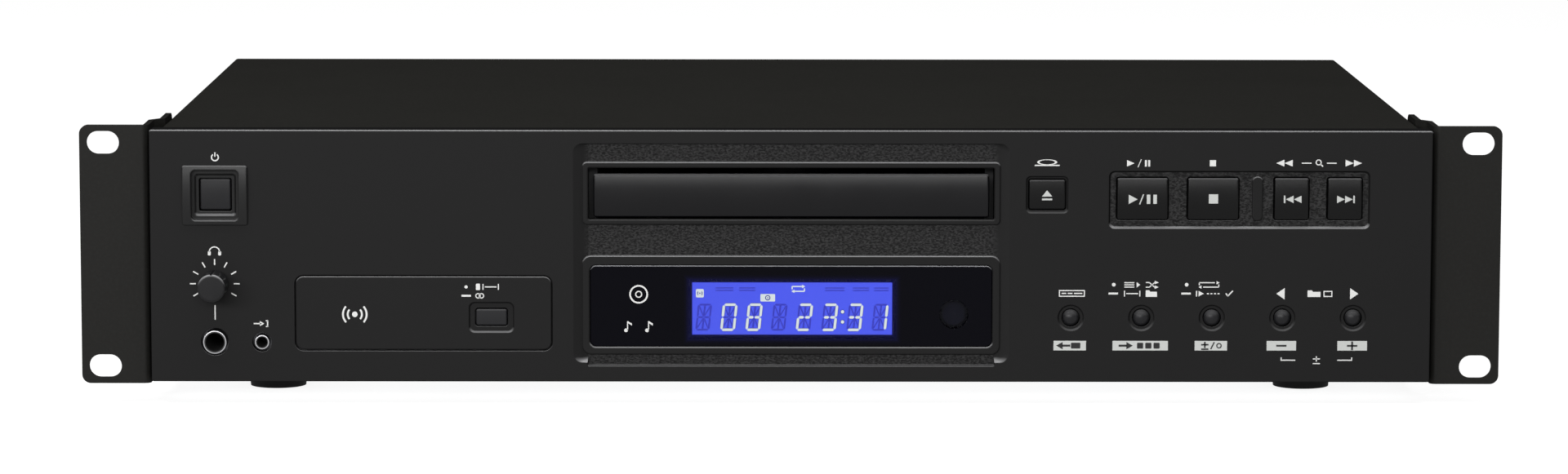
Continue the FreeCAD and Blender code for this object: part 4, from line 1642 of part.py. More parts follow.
def flat_cable(x, points, bend):
    # Flat strip whose centre line runs through points in the YZ plane, with round bends
    vectors = [Vector(x, y, z) for y, z in points]
    edges = []
    start = vectors[0]
    for before, corner, after in zip(vectors, vectors[1:], vectors[2:]):
        inward = (before - corner).normalize()
        outward = (after - corner).normalize()
        turn = math.pi - inward.getAngle(outward)
        reach = bend * math.tan(turn / 2)
        entry = corner + inward * reach
        leave = corner + outward * reach
        middle_way = (inward + outward).normalize()
        middle = corner + middle_way * (bend / math.cos(turn / 2) - bend)
        edges += [Part.makeLine(start, entry), Part.Arc(entry, middle, leave).toShape()]
        start = leave
    edges.append(Part.makeLine(start, vectors[-1]))
    direction = (vectors[1] - vectors[0]).normalize()
    side = Vector(1, 0, 0) * (RIBBON_WIDTH / 2)
    lift = direction.cross(Vector(1, 0, 0)) * (RIBBON_THICK / 2)
    start = vectors[0]
    corners = [start + side + lift, start - side + lift, start - side - lift, start + side - lift]
    profile = Part.makePolygon(corners + corners[:1])
    return Part.Wire(edges).makePipeShell([profile], True, False)


def ribbon_cables():
    top_z = BOARD_BOTTOM + RIBBON_RISE
    low_z = FLOOR_TOP + RIBBON_CLEAR
    fall_y = BOARD_BACK + RIBBON_OUT
    socket_y = LOW_BOARD_Y + PLUG_SETBACK
    socket_z = LOW_BOARD_TOP + PLUG_SIZE / 2
    level_y = socket_y - RIBBON_LEVEL
    front_cable = flat_cable(RIBBON_X, [(BOARD_BACK, top_z), (fall_y, top_z), (fall_y + RIBBON_FALL, low_z),
                                        (level_y - RIBBON_CLIMB, low_z), (level_y, socket_z),
                                        (socket_y, socket_z)], RIBBON_BEND)
    plug = block(RIBBON_X - PLUG_HALF, RIBBON_X + PLUG_HALF, BOARD_BACK, BOARD_BACK + PLUG_DEPTH,
                 top_z - PLUG_SIZE / 2, top_z + PLUG_SIZE / 2)
    save("ribbon_cables", front_cable.cut(plug), plug)


rack_brackets()
chassis_base()
top_cover()
rear_panel()
feet()
case_screws()
board_screws()
foot_screws()
front_panel()
wireless_panel()
display_window()
power_bezel()
keys()
power_button_and_switch()
front_boards()
display_parts()
knob_and_jacks()
disc_tray()
loader_frame()
clamp_bridge()
belt_drive()
traverse_deck()
low_boards()
transformer()
rear_sockets()
ac_inlet()
ribbon_cables()
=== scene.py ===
import json
import math

import bmesh
import bpy
from mathutils import Matrix, Vector


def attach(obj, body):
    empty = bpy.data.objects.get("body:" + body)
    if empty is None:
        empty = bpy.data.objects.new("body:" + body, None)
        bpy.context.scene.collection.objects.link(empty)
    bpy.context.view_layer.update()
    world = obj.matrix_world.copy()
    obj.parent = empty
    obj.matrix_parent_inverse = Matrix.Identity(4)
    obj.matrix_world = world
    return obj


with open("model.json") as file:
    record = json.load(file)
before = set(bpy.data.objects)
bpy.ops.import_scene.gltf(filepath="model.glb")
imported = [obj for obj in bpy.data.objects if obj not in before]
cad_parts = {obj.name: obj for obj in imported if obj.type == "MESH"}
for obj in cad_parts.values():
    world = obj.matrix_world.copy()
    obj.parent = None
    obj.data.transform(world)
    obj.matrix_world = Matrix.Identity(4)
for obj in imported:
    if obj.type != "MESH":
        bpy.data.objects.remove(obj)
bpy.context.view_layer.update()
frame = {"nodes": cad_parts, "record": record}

# Lengths and places are in millimetres, unless a comment says metres. X runs right, Y back and Z up.

MM = 0.001                # one millimetre in metres

PANEL_Y = -136.25         # face of the panel, and of the open/close button
PANEL_TOP = 93.3
TRANSPORT_Y = PANEL_Y - 0.5    # faces of the play, stop and search buttons
WINDOW_Y = -135.35        # face of the dark window
WINDOW_BACK = WINDOW_Y + 2.0
GLASS_Y = -132.95         # face of the screen's glass
REAR_FACE = 140.05        # rear panel
REAR_Y = 141.05           # rear edge of the case
KNOB = (-194.8, 41.0)     # axis of the level knob: x, z
JACKS = ((-194.9, 21.2, 3.2, 0.38), (-179.0, 21.1, 1.8, 0.26))    # x, z, bore radius and start of the lip
LIP_WIDTH = 0.32
SCREEN = (-33.6, 23.24, 34.35, 41.30)    # left, bottom, right and top of its opening
EYE = (55.1, 30.6, 3.9)   # remote-control receiver: x, z and the radius of its opening
PROUD = 0.03              # printed ink above its surface
SUNK = 0.02               # and below it


# Camera, as fitted to the photograph

CAMERA_PLACE = (-0.0151, -1.93735, 0.2759)    # metres
YAW = math.radians(0.402)
PITCH = math.radians(6.926)    # downwards
ROLL = math.radians(-0.103)
SENSOR_WIDTH = 36.0
FOCAL_LENGTH = 123.30


def make_camera():
    forward = Vector((math.sin(YAW) * math.cos(PITCH), math.cos(YAW) * math.cos(PITCH), -math.sin(PITCH)))
    level = Vector((math.cos(YAW), -math.sin(YAW), 0.0))
    below = forward.cross(level)
    right = level * math.cos(ROLL) + below * math.sin(ROLL)
    down = below * math.cos(ROLL) - level * math.sin(ROLL)
    data = bpy.data.cameras.new("camera")
    data.sensor_fit = "HORIZONTAL"
    data.sensor_width = SENSOR_WIDTH
    data.lens = FOCAL_LENGTH
    data.clip_start = 0.05
    data.clip_end = 60.0
    camera = bpy.data.objects.new("camera", data)
    bpy.context.scene.collection.objects.link(camera)
    axes = Matrix((right, -down, -forward)).transposed()
    camera.matrix_world = Matrix.Translation(CAMERA_PLACE) @ axes.to_4x4()
    bpy.context.scene.camera = camera


# Materials

WHITE = (1.0, 1.0, 1.0)


def scaled(color, factor):
    return tuple(min(1.0, c * factor) for c in color)


class Nodes:
    # Node tree of a material, or of the world. The lengths that its methods take are in metres.

    def __init__(self, owner, output="ShaderNodeOutputMaterial"):
        self.owner = owner
        owner.use_nodes = True
        self.tree = owner.node_tree
        self.tree.nodes.clear()
        self.output = self.add(output)

    def feed(self, socket, value):
        # A node or its output is linked to the socket, and a number, colour or vector is set on it
        if isinstance(value, bpy.types.Node):
            value = value.outputs[0]
        if isinstance(value, bpy.types.NodeSocket):
            self.tree.links.new(value, socket)
        elif socket.type == "RGBA":
            socket.default_value = (*value, 1.0)
        else:
            socket.default_value = value

    def add(self, kind, sockets=None, **settings):
        node = self.tree.nodes.new(kind)
        for key, value in settings.items():
            setattr(node, key, value)
        for key, value in (sockets or {}).items():
            self.feed(node.inputs[key], value)
        return node

    def finish(self, shader):
        self.feed(self.output.inputs[0], shader)
        return self.owner

    def place(self):
        return self.add("ShaderNodeTexCoord").outputs["Object"]

    def axes(self):
        # X, Y and Z of a point
        return self.add("ShaderNodeSeparateXYZ", {0: self.place()}).outputs

    def math(self, operation, *values, clamp=False):
        sockets = dict(enumerate(values))
        return self.add("ShaderNodeMath", sockets, operation=operation, use_clamp=clamp).outputs[0]

    def span(self, value, low, high, to_low, to_high):
        # The value's way from low to high, mapped to another range and held inside it
        sockets = {0: value, 1: low, 2: high, 3: to_low, 4: to_high}
        return self.add("ShaderNodeMapRange", sockets, clamp=True).outputs[0]

    def noise(self, scale, detail=3.0, rough=0.5, distortion=0.0, stretch=None):
        place = self.place()
        if stretch:
            place = self.add("ShaderNodeMapping", {"Vector": place, "Scale": stretch})
        sockets = {"Vector": place, "Scale": scale, "Detail": detail, "Roughness": rough,
                   "Distortion": distortion}
        return self.add("ShaderNodeTexNoise", sockets).outputs["Fac"]

    def blend(self, factor, first, second):
        return self.add("ShaderNodeMix", {0: factor, 6: first, 7: second}, data_type="RGBA").outputs[2]

    def mix(self, factor, first, second):
        return self.add("ShaderNodeMixShader", {0: factor, 1: first, 2: second})

    def both(self, first, second):
        return self.add("ShaderNodeAddShader", {0: first, 1: second})

    def rounded(self, radius):
        # Normal that softens edges
        return self.add("ShaderNodeBevel", {"Radius": radius}, samples=6).outputs[0]

    def turned(self, normal):
        # How much a softened normal leaves the true one: 0 on a flat, 1 on an edge
        true = self.add("ShaderNodeNewGeometry").outputs["True Normal"]
        dot = self.add("ShaderNodeVectorMath", {0: normal, 1: true}, operation="DOT_PRODUCT")
        return self.span(dot.outputs["Value"], 0.999, 0.88, 0.0, 1.0)

    def raised(self, normal):
        # How much a softened normal looks both up and forward, as it does on upper front edges
        parts = self.add("ShaderNodeSeparateXYZ", {0: normal}).outputs
        up = self.span(parts[2], 0.15, 0.7, 0.0, 1.0)
        ahead = self.span(parts[1], -0.15, -0.5, 0.0, 1.0)
        return self.math("MULTIPLY", up, ahead)

    def bump(self, height, strength, distance, normal=None):
        sockets = {"Height": height, "Strength": strength, "Distance": distance}
        if normal is not None:
            sockets["Normal"] = normal
        return self.add("ShaderNodeBump", sockets).outputs[0]

    def even_gloss(self, tone, rough, normal, edges, gloss):
        # Matt surface with a faint gloss that stays faint at a low angle, three times as strong on edges
        matt = self.add("ShaderNodeBsdfDiffuse", {"Color": tone, "Normal": normal})
        shine = self.add("ShaderNodeBsdfGlossy", {"Roughness": rough, "Normal": normal})
        return self.mix(self.span(edges, 0.0, 1.0, gloss, 3.0 * gloss), matt, shine)

    def seen(self):
        # 1 for what the camera sees, straight, in gloss or through the window, and 0 for light on the object
        path = self.add("ShaderNodeLightPath").outputs
        first = self.math("ADD", path["Is Camera Ray"], path["Is Glossy Ray"])
        return self.math("ADD", first, path["Is Transmission Ray"], clamp=True)


def material_nodes(name):
    return Nodes(bpy.data.materials.new(name))


PAINTED_HIGHLIGHT = (0.27, 0.27, 0.275)    # painted highlight for upper front edges, where light from above catches them


def surface(name, color, rough, spec=0.5, metallic=0.0, grain=2500.0, depth=0.02, strength=0.3, mottle=0.12,
            rough_change=0.06, wear_and_highlight=0.25, shine=0.0, radius=0.18, stretch=None, detail=3.0):
    # Plain moulded, painted or metal surface: colour drifts a little, fine grain, and softened edges that are
    # lightened partly as wear and partly as a painted highlight.
    # Shine is the strength of a painted highlight on its upper front edges.
    n = material_nodes(name)
    cloud = n.noise(60.0, 4.0)
    fine = n.noise(grain, detail, stretch=stretch)
    normal = n.rounded(radius * MM)
    pale = scaled(color, 1.0 + mottle)
    tone = n.blend(cloud, scaled(color, 1.0 - mottle), pale)
    tone = n.blend(n.span(fine, 0.35, 0.7, 0.0, 1.0), tone, pale)
    # Edges lightened, partly as wear and partly as a painted highlight
    tone = n.blend(n.math("MULTIPLY", n.turned(normal), wear_and_highlight), tone, scaled(color, 2.2))
    # Painted highlight: upper front edges are lighter, as where light from above catches them
    if shine:
        tone = n.blend(n.math("MULTIPLY", n.raised(normal), shine), tone, PAINTED_HIGHLIGHT)
    return n.finish(n.add("ShaderNodeBsdfPrincipled", {
        "Base Color": tone,
        "Metallic": metallic,
        "Specular IOR Level": spec,
        "Roughness": n.span(cloud, 0.3, 0.7, rough - rough_change, rough + rough_change),
        "Normal": n.bump(fine, strength, depth * MM, normal),
    }))


def powder_coat(name, color, gloss):
    # Matt powder coat on sheet steel, with its orange peel, and edges lightened partly as wear and partly as
    # a painted highlight
    n = material_nodes(name)
    cloud = n.noise(25.0, 4.0)
    peel = n.noise(900.0, 3.0, 0.6)
    normal = n.rounded(0.2 * MM)
    turn = n.turned(normal)
    tone = n.blend(cloud, scaled(color, 0.93), scaled(color, 1.07))
    tone = n.blend(n.span(peel, 0.45, 0.75, 0.0, 1.0), tone, scaled(color, 1.25))
    # Edges lightened, partly as wear and partly as a painted highlight
    tone = n.blend(n.math("MULTIPLY", turn, 0.3), tone, scaled(color, 2.5))
    rough = n.span(cloud, 0.3, 0.7, 0.42, 0.5)
    return n.finish(n.even_gloss(tone, rough, n.bump(peel, 0.35, 0.04 * MM, normal), turn, gloss))


# Where the front panel's material changes. A pair along an axis is a middle and the reach each side of it.
FIELD_FADE = (67.6, 70.2)    # how far from the middle the sunk field's grain starts to fade, and ends
FIELD_FLOOR = (PANEL_Y + 1.3, 0.36)
STRIP = (151.4, 43.6)     # key strip along X
STRIP_FLOOR = (PANEL_Y + 1.2, 0.06)
DEEP_Y = PANEL_Y + 2.2    # walls of the openings behind this get painted shade
CREST = (PANEL_TOP, 1.6)    # top edge, rounder than the others and with the full painted highlight
# Edges whose painted highlight is weaker: a pair along X, a pair along Z, and the share of the highlight that
# they lose
DIMMED_HIGHLIGHTS = (
    (0.0, 69.5, 62.9, 0.8, 1.0), (0.0, 69.5, 19.2, 0.8, 0.5), (0.0, 75.0, 12.9, 1.0, 0.4),
    (86.4, 9.0, 66.0, 5.0, 0.8), (142.5, 54.0, 26.0, 12.0, 0.8), (-101.6, 9.0, 24.5, 1.4, 0.5),
)


def panel_surface(name, color, gloss):
    # Fine matt moulding, with a coarse hide grain on the floors of the sunk field and the key strip, painted
    # shade deep in its openings, and edges lightened partly as wear and partly as painted highlights
    n = material_nodes(name)
    axes = n.axes()

    def near(axis, middle, reach):
        away = n.math("ABSOLUTE", n.math("SUBTRACT", axes[axis], middle * MM))
        return n.math("LESS_THAN", away, reach * MM)

    fade_start, fade_end = FIELD_FADE
    inner = n.span(n.math("ABSOLUTE", axes[0]), fade_start * MM, fade_end * MM, 1.0, 0.0)
    field = n.math("MULTIPLY", inner, near(1, *FIELD_FLOOR))
    strip = n.math("MULTIPLY", near(0, *STRIP), near(1, *STRIP_FLOOR))
    grained = n.math("ADD", field, strip, clamp=True)
    dimmed = 0.0
    for x, reach_x, z, reach_z, share in DIMMED_HIGHLIGHTS:
        inside = n.math("MULTIPLY", near(0, x, reach_x), near(2, z, reach_z))
        dimmed = n.math("MULTIPLY_ADD", inside, share, dimmed, clamp=True)
    crest = near(2, *CREST)
    cloud = n.noise(45.0, 4.0)
    fine = n.noise(3200.0, 2.0)
    pebble = n.noise(1500.0, 2.0, 0.5, 0.6, stretch=(0.7, 1.0, 1.3))
    normal = n.rounded(n.span(crest, 0.0, 1.0, 0.3 * MM, 0.75 * MM))
    raised = n.raised(normal)
    drift = n.blend(cloud, scaled(color, 0.95), scaled(color, 1.04))
    hide = n.blend(n.span(pebble, 0.40, 0.64, 0.0, 1.0), scaled(color, 0.6), scaled(color, 3.4))
    # Painted shade: what lies deeper than DEEP_Y is darkened, as if in the shadow inside the openings
    deep_shade = n.math("GREATER_THAN", axes[1], DEEP_Y * MM)
    tone = n.blend(n.math("MULTIPLY", deep_shade, 0.7), n.blend(grained, drift, hide), scaled(color, 0.1))
    # Edges lightened, partly as wear and partly as a painted highlight
    tone = n.blend(n.math("MULTIPLY", n.turned(normal), 0.45), tone, scaled(color, 2.2))
    # Painted highlight on upper front edges: weaker at the listed edges, full along the top edge
    highlight_share = n.math("MULTIPLY", raised, n.span(dimmed, 0.0, 1.0, 0.75, 0.0))
    highlight_share = n.math("MAXIMUM", highlight_share, n.math("MULTIPLY", raised, crest))
    tone = n.blend(highlight_share, tone, PAINTED_HIGHLIGHT)
    small = n.bump(fine, 0.25, 0.015 * MM, normal)
    large = n.bump(n.math("MULTIPLY", pebble, grained), 0.6, 0.3 * MM, small)
    return n.finish(n.even_gloss(tone, n.span(cloud, 0.3, 0.7, 0.46, 0.54), large, raised, gloss))


def from_screen(n, axes):
    # How far a point of the window lies outside the screen, in metres
    reach = []
    for axis, low, high in ((0, SCREEN[0], SCREEN[2]), (2, SCREEN[1], SCREEN[3])):
        middle = n.math("SUBTRACT", axes[axis], (low + high) / 2 * MM)
        reach.append(n.math("SUBTRACT", n.math("ABSOLUTE", middle), (high - low) / 2 * MM))
    return n.math("MAXIMUM", *reach)


def from_axis(n, axes, x, z):
    # How far a point lies from an axis along Y, in metres
    across = n.math("SUBTRACT", axes[0], x * MM)
    rise = n.math("SUBTRACT", axes[2], z * MM)
    return n.math("SQRT", n.math("MULTIPLY_ADD", across, across, n.math("MULTIPLY", rise, rise)))


def jack_surface(name):
    # Dark nickel bushing with a bright lip round a black bore
    n = material_nodes(name)
    axes = n.axes()
    lips = 0.0
    bores = 0.0
    for x, z, bore, lip_start in JACKS:
        away = from_axis(n, axes, x, z)
        inner = (bore + lip_start) * MM
        outside = n.math("GREATER_THAN", away, inner)
        lip = n.math("MULTIPLY", outside, n.math("LESS_THAN", away, inner + LIP_WIDTH * MM))
        lips = n.math("ADD", lips, lip)
        bores = n.math("ADD", bores, n.math("LESS_THAN", away, inner))
    cloud = n.noise(300.0, 3.0)
    nickel = n.blend(cloud, (0.045, 0.045, 0.048), (0.065, 0.065, 0.068))
    plated = n.blend(cloud, (0.26, 0.26, 0.27), (0.36, 0.36, 0.37))
    return n.finish(n.add("ShaderNodeBsdfPrincipled", {
        "Base Color": n.blend(bores, n.blend(lips, nickel, plated), (0.0025, 0.0025, 0.0025)),
        "Metallic": n.math("SUBTRACT", 1.0, bores, clamp=True),
        "Roughness": n.span(bores, 0.0, 1.0, 0.28, 0.7),
        "Normal": n.bump(n.noise(1500.0, 3.0), 0.15, 0.01 * MM, n.rounded(0.1 * MM)),
    }))


TINT = 0.64               # share of light that the clear parts of the window let through
CLEAR = 1.0               # how far those parts reach round the screen and the receiver's opening
LEAK = 3.5                # how far the painted glow of leaking light reaches round the screen
LEAK_COLOR = (0.0077, 0.0083, 0.083)
INK_DARK = (0.0009, 0.0007, 0.0018)
INK_PALE = (0.0012, 0.0010, 0.0023)


def black_ink(n, axes, through):
    # Dull black ink, with a painted glow round the screen for the light that leaks past its edge. Through is
    # the share of light that a window before it lets past: the ink is brighter by that, to look the same
    # behind it.
    ink = n.blend(n.noise(400.0, 3.0), scaled(INK_DARK, through ** -2), scaled(INK_PALE, through ** -2))
    fade = n.span(from_screen(n, axes), 0.0, LEAK * MM, 1.0, 0.0)
    leak = {"Color": scaled(LEAK_COLOR, 1.0 / through), "Strength": n.math("POWER", fade, 3.0)}
    return n.both(n.add("ShaderNodeBsdfDiffuse", {"Color": ink}), n.add("ShaderNodeEmission", leak))


def mask_surface(name):
    n = material_nodes(name)
    return n.finish(black_ink(n, n.axes(), TINT))


def dark_window(name):
    # Tinted plastic with a polished face, clear before the screen and the receiver and inked black elsewhere,
    # with a painted highlight along its upper front edges
    n = material_nodes(name)
    axes = n.axes()
    eye_x, eye_z, eye_radius = EYE
    off_screen = n.math("GREATER_THAN", from_screen(n, axes), CLEAR * MM)
    off_eye = n.math("GREATER_THAN", from_axis(n, axes, eye_x, eye_z), (eye_radius + CLEAR) * MM)
    haze = n.noise(12.0, 3.0)
    tint = n.blend(haze, (TINT - 0.02,) * 3, (TINT + 0.02,) * 3)
    clear = n.add("ShaderNodeBsdfTransparent", {"Color": tint})
    plate = n.mix(n.math("MULTIPLY", off_screen, off_eye), clear, black_ink(n, axes, 1.0))
    rough = n.span(haze, 0.3, 0.7, 0.03, 0.07)
    gloss = n.add("ShaderNodeBsdfGlossy", {"Color": (0.85, 0.88, 1.0), "Roughness": rough})
    face = n.mix(n.add("ShaderNodeFresnel", {"IOR": 1.14}), plate, gloss)
    # Painted highlight: pale grey on the upper front edges, as where light from above catches them
    edge = n.add("ShaderNodeBsdfDiffuse", {"Color": (0.55, 0.55, 0.58)})
    raised = n.raised(n.rounded(0.3 * MM))
    return n.finish(n.mix(n.math("MULTIPLY", raised, 0.9), face, edge))


def lit_surface(name, low, high, strength):
    # Evenly lit part of the display, a little brighter in patches
    n = material_nodes(name)
    color = n.blend(n.noise(30.0, 2.0), low, high)
    return n.finish(n.add("ShaderNodeEmission", {"Color": color, "Strength": strength}))


def laminate(name):
    # Circuit board: solder mask with faint tracks under it
    n = material_nodes(name)
    tracks = n.add("ShaderNodeTexBrick", {
        "Vector": n.place(),
        "Scale": 260.0,
        "Mortar Size": 0.05,
        "Color1": (0.012, 0.075, 0.030),
        "Color2": (0.020, 0.110, 0.045),
        "Mortar": (0.030, 0.160, 0.070),
    }).outputs
    return n.finish(n.add("ShaderNodeBsdfPrincipled", {
        "Base Color": tracks["Color"],
        "Specular IOR Level": 0.5,
        "Roughness": 0.32,
        "Normal": n.bump(tracks["Fac"], 0.4, 0.03 * MM),
    }))


# Plain surfaces: what each one gives to surface(). Shine there is a painted highlight on upper front edges;
# the lightening of all edges is partly wear and partly a painted highlight.
SMOOTH = dict(rough_change=0.02, strength=0.12)
PRINTED = dict(rough=0.6, grain=6000.0, depth=0.004, mottle=0.05, wear_and_highlight=0.0, radius=0.02)
GLASSY = dict(grain=500.0, depth=0.002)
SURFACES = {
    "key_black": dict(SMOOTH, color=(0.0024, 0.0024, 0.0025), rough=0.26, spec=0.11, shine=0.3, radius=0.25),
    "door_black": dict(SMOOTH, color=(0.0016, 0.0015, 0.0021), rough=0.24, spec=0.15, shine=0.4, radius=0.3),
    "button_black": dict(color=(0.0110, 0.0110, 0.0122), rough=0.36, spec=0.12, shine=0.2, radius=0.25),
    "bezel_black": dict(color=(0.0075, 0.0075, 0.0076), rough=0.30, spec=0.14, shine=0.45, radius=0.3,
                        rough_change=0.03, strength=0.12),
    "rubber_black": dict(color=(0.016, 0.016, 0.016), rough=0.85, spec=0.2, grain=900.0, depth=0.08),
    "screw_black": dict(color=(0.02, 0.02, 0.021), rough=0.42, metallic=0.6, grain=4000.0),
    "screw_zinc": dict(color=(0.60, 0.59, 0.55), rough=0.35, metallic=1.0, grain=3000.0, wear_and_highlight=0.1),
    "steel_zinc": dict(color=(0.50, 0.51, 0.52), rough=0.38, metallic=1.0, grain=150.0, mottle=0.1, wear_and_highlight=0.1,
                       detail=1.0),
    "knob_black": dict(color=(0.0068, 0.0068, 0.0074), rough=0.36, spec=0.13, shine=0.8, radius=0.3),
    "shaft_metal": dict(color=(0.70, 0.70, 0.71), rough=0.3, metallic=1.0, stretch=(1.0, 30.0, 1.0)),
    "component_black": dict(color=(0.010, 0.010, 0.011), rough=0.5, spec=0.3),
    "lcd_glass": dict(GLASSY, color=(0.02, 0.03, 0.10), rough=0.12),
    "receiver_dark": dict(GLASSY, color=(0.009, 0.0085, 0.030), rough=0.15, spec=0.2),
    "mechanism_grey": dict(color=(0.075, 0.075, 0.080), rough=0.5, spec=0.35, grain=1800.0),
    "tray_black": dict(color=(0.020, 0.020, 0.021), rough=0.55, spec=0.3, grain=1500.0, depth=0.04,
                       strength=0.5),
    "gear_white": dict(color=(0.72, 0.71, 0.66), rough=0.42, mottle=0.05, wear_and_highlight=0.1),
    "belt_rubber": dict(color=(0.012, 0.012, 0.012), rough=0.7, spec=0.2),
    "motor_steel": dict(color=(0.52, 0.52, 0.53), rough=0.33, metallic=1.0, stretch=(1.0, 1.0, 25.0)),
    "rod_steel": dict(color=(0.66, 0.66, 0.67), rough=0.16, metallic=1.0, strength=0.1,
                      stretch=(1.0, 25.0, 1.0)),
    "transformer_core": dict(color=(0.16, 0.13, 0.10), rough=0.45, metallic=0.7, grain=900.0, depth=0.15,
                             strength=0.8, stretch=(0.02, 3.0, 0.02)),
    "capacitor_sleeve": dict(color=(0.03, 0.03, 0.09), rough=0.25, mottle=0.06),
    "socket_black": dict(color=(0.018, 0.018, 0.018), rough=0.5, spec=0.35),
    "jack_metal": dict(color=(0.70, 0.60, 0.38), rough=0.32, metallic=1.0, mottle=0.06, wear_and_highlight=0.0,
                       stretch=(1.0, 20.0, 1.0)),
    "ribbon_grey": dict(color=(0.36, 0.36, 0.37), rough=0.5, grain=1200.0, depth=0.15, strength=0.8,
                        stretch=(1.0, 0.03, 0.03)),
    "print_white": dict(PRINTED, color=(0.62, 0.62, 0.61), spec=0.3),
    "print_label": dict(PRINTED, color=(0.47, 0.48, 0.465), spec=0.2),
    "print_dark": dict(PRINTED, color=(0.012, 0.012, 0.012), spec=0.2),
    "insulator_red": dict(color=(0.55, 0.03, 0.03), rough=0.4, mottle=0.05),
    "insulator_white": dict(color=(0.66, 0.65, 0.61), rough=0.4, mottle=0.05),
    "insulator_orange": dict(color=(0.75, 0.26, 0.03), rough=0.4, mottle=0.05),
}
# Lit parts of the display: two colours and a strength
LIT = {
    "display_blue": ((0.082, 0.114, 0.98), (0.096, 0.134, 1.0), 2.1),
    "display_ghost": ((0.060, 0.068, 0.66), (0.068, 0.078, 0.72), 1.75),
    "display_lit": ((0.86, 0.96, 1.0), (0.92, 1.0, 1.0), 1.85),
    "display_rim": ((0.030, 0.034, 0.42), (0.036, 0.040, 0.48), 1.5),
}


def make_materials():
    made = {
        "panel_black": panel_surface("panel_black", (0.0094, 0.0093, 0.0094), 0.006),
        "case_black": powder_coat("case_black", (0.0115, 0.0113, 0.0102), 0.005),
        "bracket_black": powder_coat("bracket_black", (0.0105, 0.0103, 0.0095), 0.006),
        "window_dark": dark_window("window_dark"),
        "window_ink": mask_surface("window_ink"),
        "jack_chrome": jack_surface("jack_chrome"),
        "board_green": laminate("board_green"),
    }
    for name, values in SURFACES.items():
        made[name] = surface(name, **values)
    for name, values in LIT.items():
        made[name] = lit_surface(name, *values)
    return made


# Flat marks: thin plates gathered into one mesh. Points are (x, z), seen from the front.

class Marks:
    def __init__(self, front, back):
        self.mesh = bmesh.new()
        self.front = front
        self.back = back

    def poly(self, points):
        ring = []
        for y in (self.front, self.back):
            ring.append([self.mesh.verts.new((x * MM, y * MM, z * MM)) for x, z in points])
        near, far = ring
        self.mesh.faces.new(near)
        self.mesh.faces.new(far[::-1])
        for i in range(len(points)):
            j = (i + 1) % len(points)
            self.mesh.faces.new((near[j], near[i], far[i], far[j]))

    def bar(self, x0, z0, x1, z1, width):
        along = Vector((x1 - x0, z1 - z0)).normalized() * width / 2
        side = Vector((-along.y, along.x))
        a, b = Vector((x0, z0)), Vector((x1, z1))
        self.poly([tuple(a + side), tuple(a - side), tuple(b - side), tuple(b + side)])

    def box(self, x0, z0, x1, z1):
        self.poly([(x0, z0), (x1, z0), (x1, z1), (x0, z1)])

    def soft_box(self, x0, z0, x1, z1, radius):
        steps = 6
        points = []
        for cx, cz, start in ((x1 - radius, z1 - radius, 0), (x0 + radius, z1 - radius, 90),
                              (x0 + radius, z0 + radius, 180), (x1 - radius, z0 + radius, 270)):
            for i in range(steps + 1):
                angle = math.radians(start + 90 * i / steps)
                points.append((cx + radius * math.cos(angle), cz + radius * math.sin(angle)))
        self.poly(points)

    def disc(self, x, z, radius, steps=24):
        angles = [2 * math.pi * i / steps for i in range(steps)]
        self.poly([(x + radius * math.cos(angle), z + radius * math.sin(angle)) for angle in angles])

    def arc(self, x, z, radius, width, start, end, steps=20, squash=1.0):
        # Band from one angle to another; a full turn joins up with itself
        full = abs(end - start) >= 360
        rows = []
        for i in range(steps if full else steps + 1):
            angle = math.radians(start + (end - start) * i / steps)
            row = []
            for y in (self.front, self.back):
                for r in (radius - width / 2, radius + width / 2):
                    px = x + r * math.cos(angle)
                    pz = z + r * math.sin(angle) * squash
                    row.append(self.mesh.verts.new((px * MM, y * MM, pz * MM)))
            rows.append(row)
        pairs = list(zip(rows, rows[1:])) + ([(rows[-1], rows[0])] if full else [])
        for a, b in pairs:
            for i, j in ((0, 1), (1, 3), (3, 2), (2, 0)):
                self.mesh.faces.new((a[i], a[j], b[j], b[i]))
        if not full:
            self.mesh.faces.new([rows[0][i] for i in (0, 1, 3, 2)])
            self.mesh.faces.new([rows[-1][i] for i in (2, 3, 1, 0)])

    def frame(self, x0, z0, x1, z1, width):
        h = width / 2
        self.bar(x0, z0 + h, x1, z0 + h, width)
        self.bar(x0, z1 - h, x1, z1 - h, width)
        self.bar(x0 + h, z0 + width, x0 + h, z1 - width, width)
        self.bar(x1 - h, z0 + width, x1 - h, z1 - width, width)

    def arrow(self, tip_x, z, length, height):
        # Solid triangle; a negative length points left
        back = tip_x - length
        self.poly([(tip_x, z), (back, z + height / 2), (back, z - height / 2)])

    def build(self, name, material, slot, body="root"):
        bmesh.ops.recalc_face_normals(self.mesh, faces=self.mesh.faces)
        data = bpy.data.meshes.new(name)
        self.mesh.to_mesh(data)
        self.mesh.free()
        data.materials.append(material)
        piece = bpy.data.objects.new(name, data)
        bpy.context.scene.collection.objects.link(piece)
        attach(piece, body)


def on_panel():
    return Marks(PANEL_Y - PROUD, PANEL_Y + SUNK)


# Prints on the front panel. A sign is drawn round its own middle.

FINE = 0.34               # strokes
THIN = 0.36
MIDDLE = 0.38
FULL = 0.40
BOLD = 0.42
HEAVY = 0.62
TICK_START = 6.4          # ticks round the level knob, from its axis
TICK_END = 8.4


def print_ticks(marks):
    x, z = KNOB
    for step in range(-4, 5):
        angle = math.radians(90 - 30 * step)
        c, s = math.cos(angle), math.sin(angle)
        marks.bar(x + TICK_START * c, z + TICK_START * s, x + TICK_END * c, z + TICK_END * s, BOLD)
    marks.bar(x, 28.7, x, 33.7, MIDDLE)


def sign_power(marks, x, z):
    marks.arc(x, z - 0.1, 1.15, BOLD, 125, 415)
    marks.bar(x, z + 0.1, x, z + 1.6, BOLD)


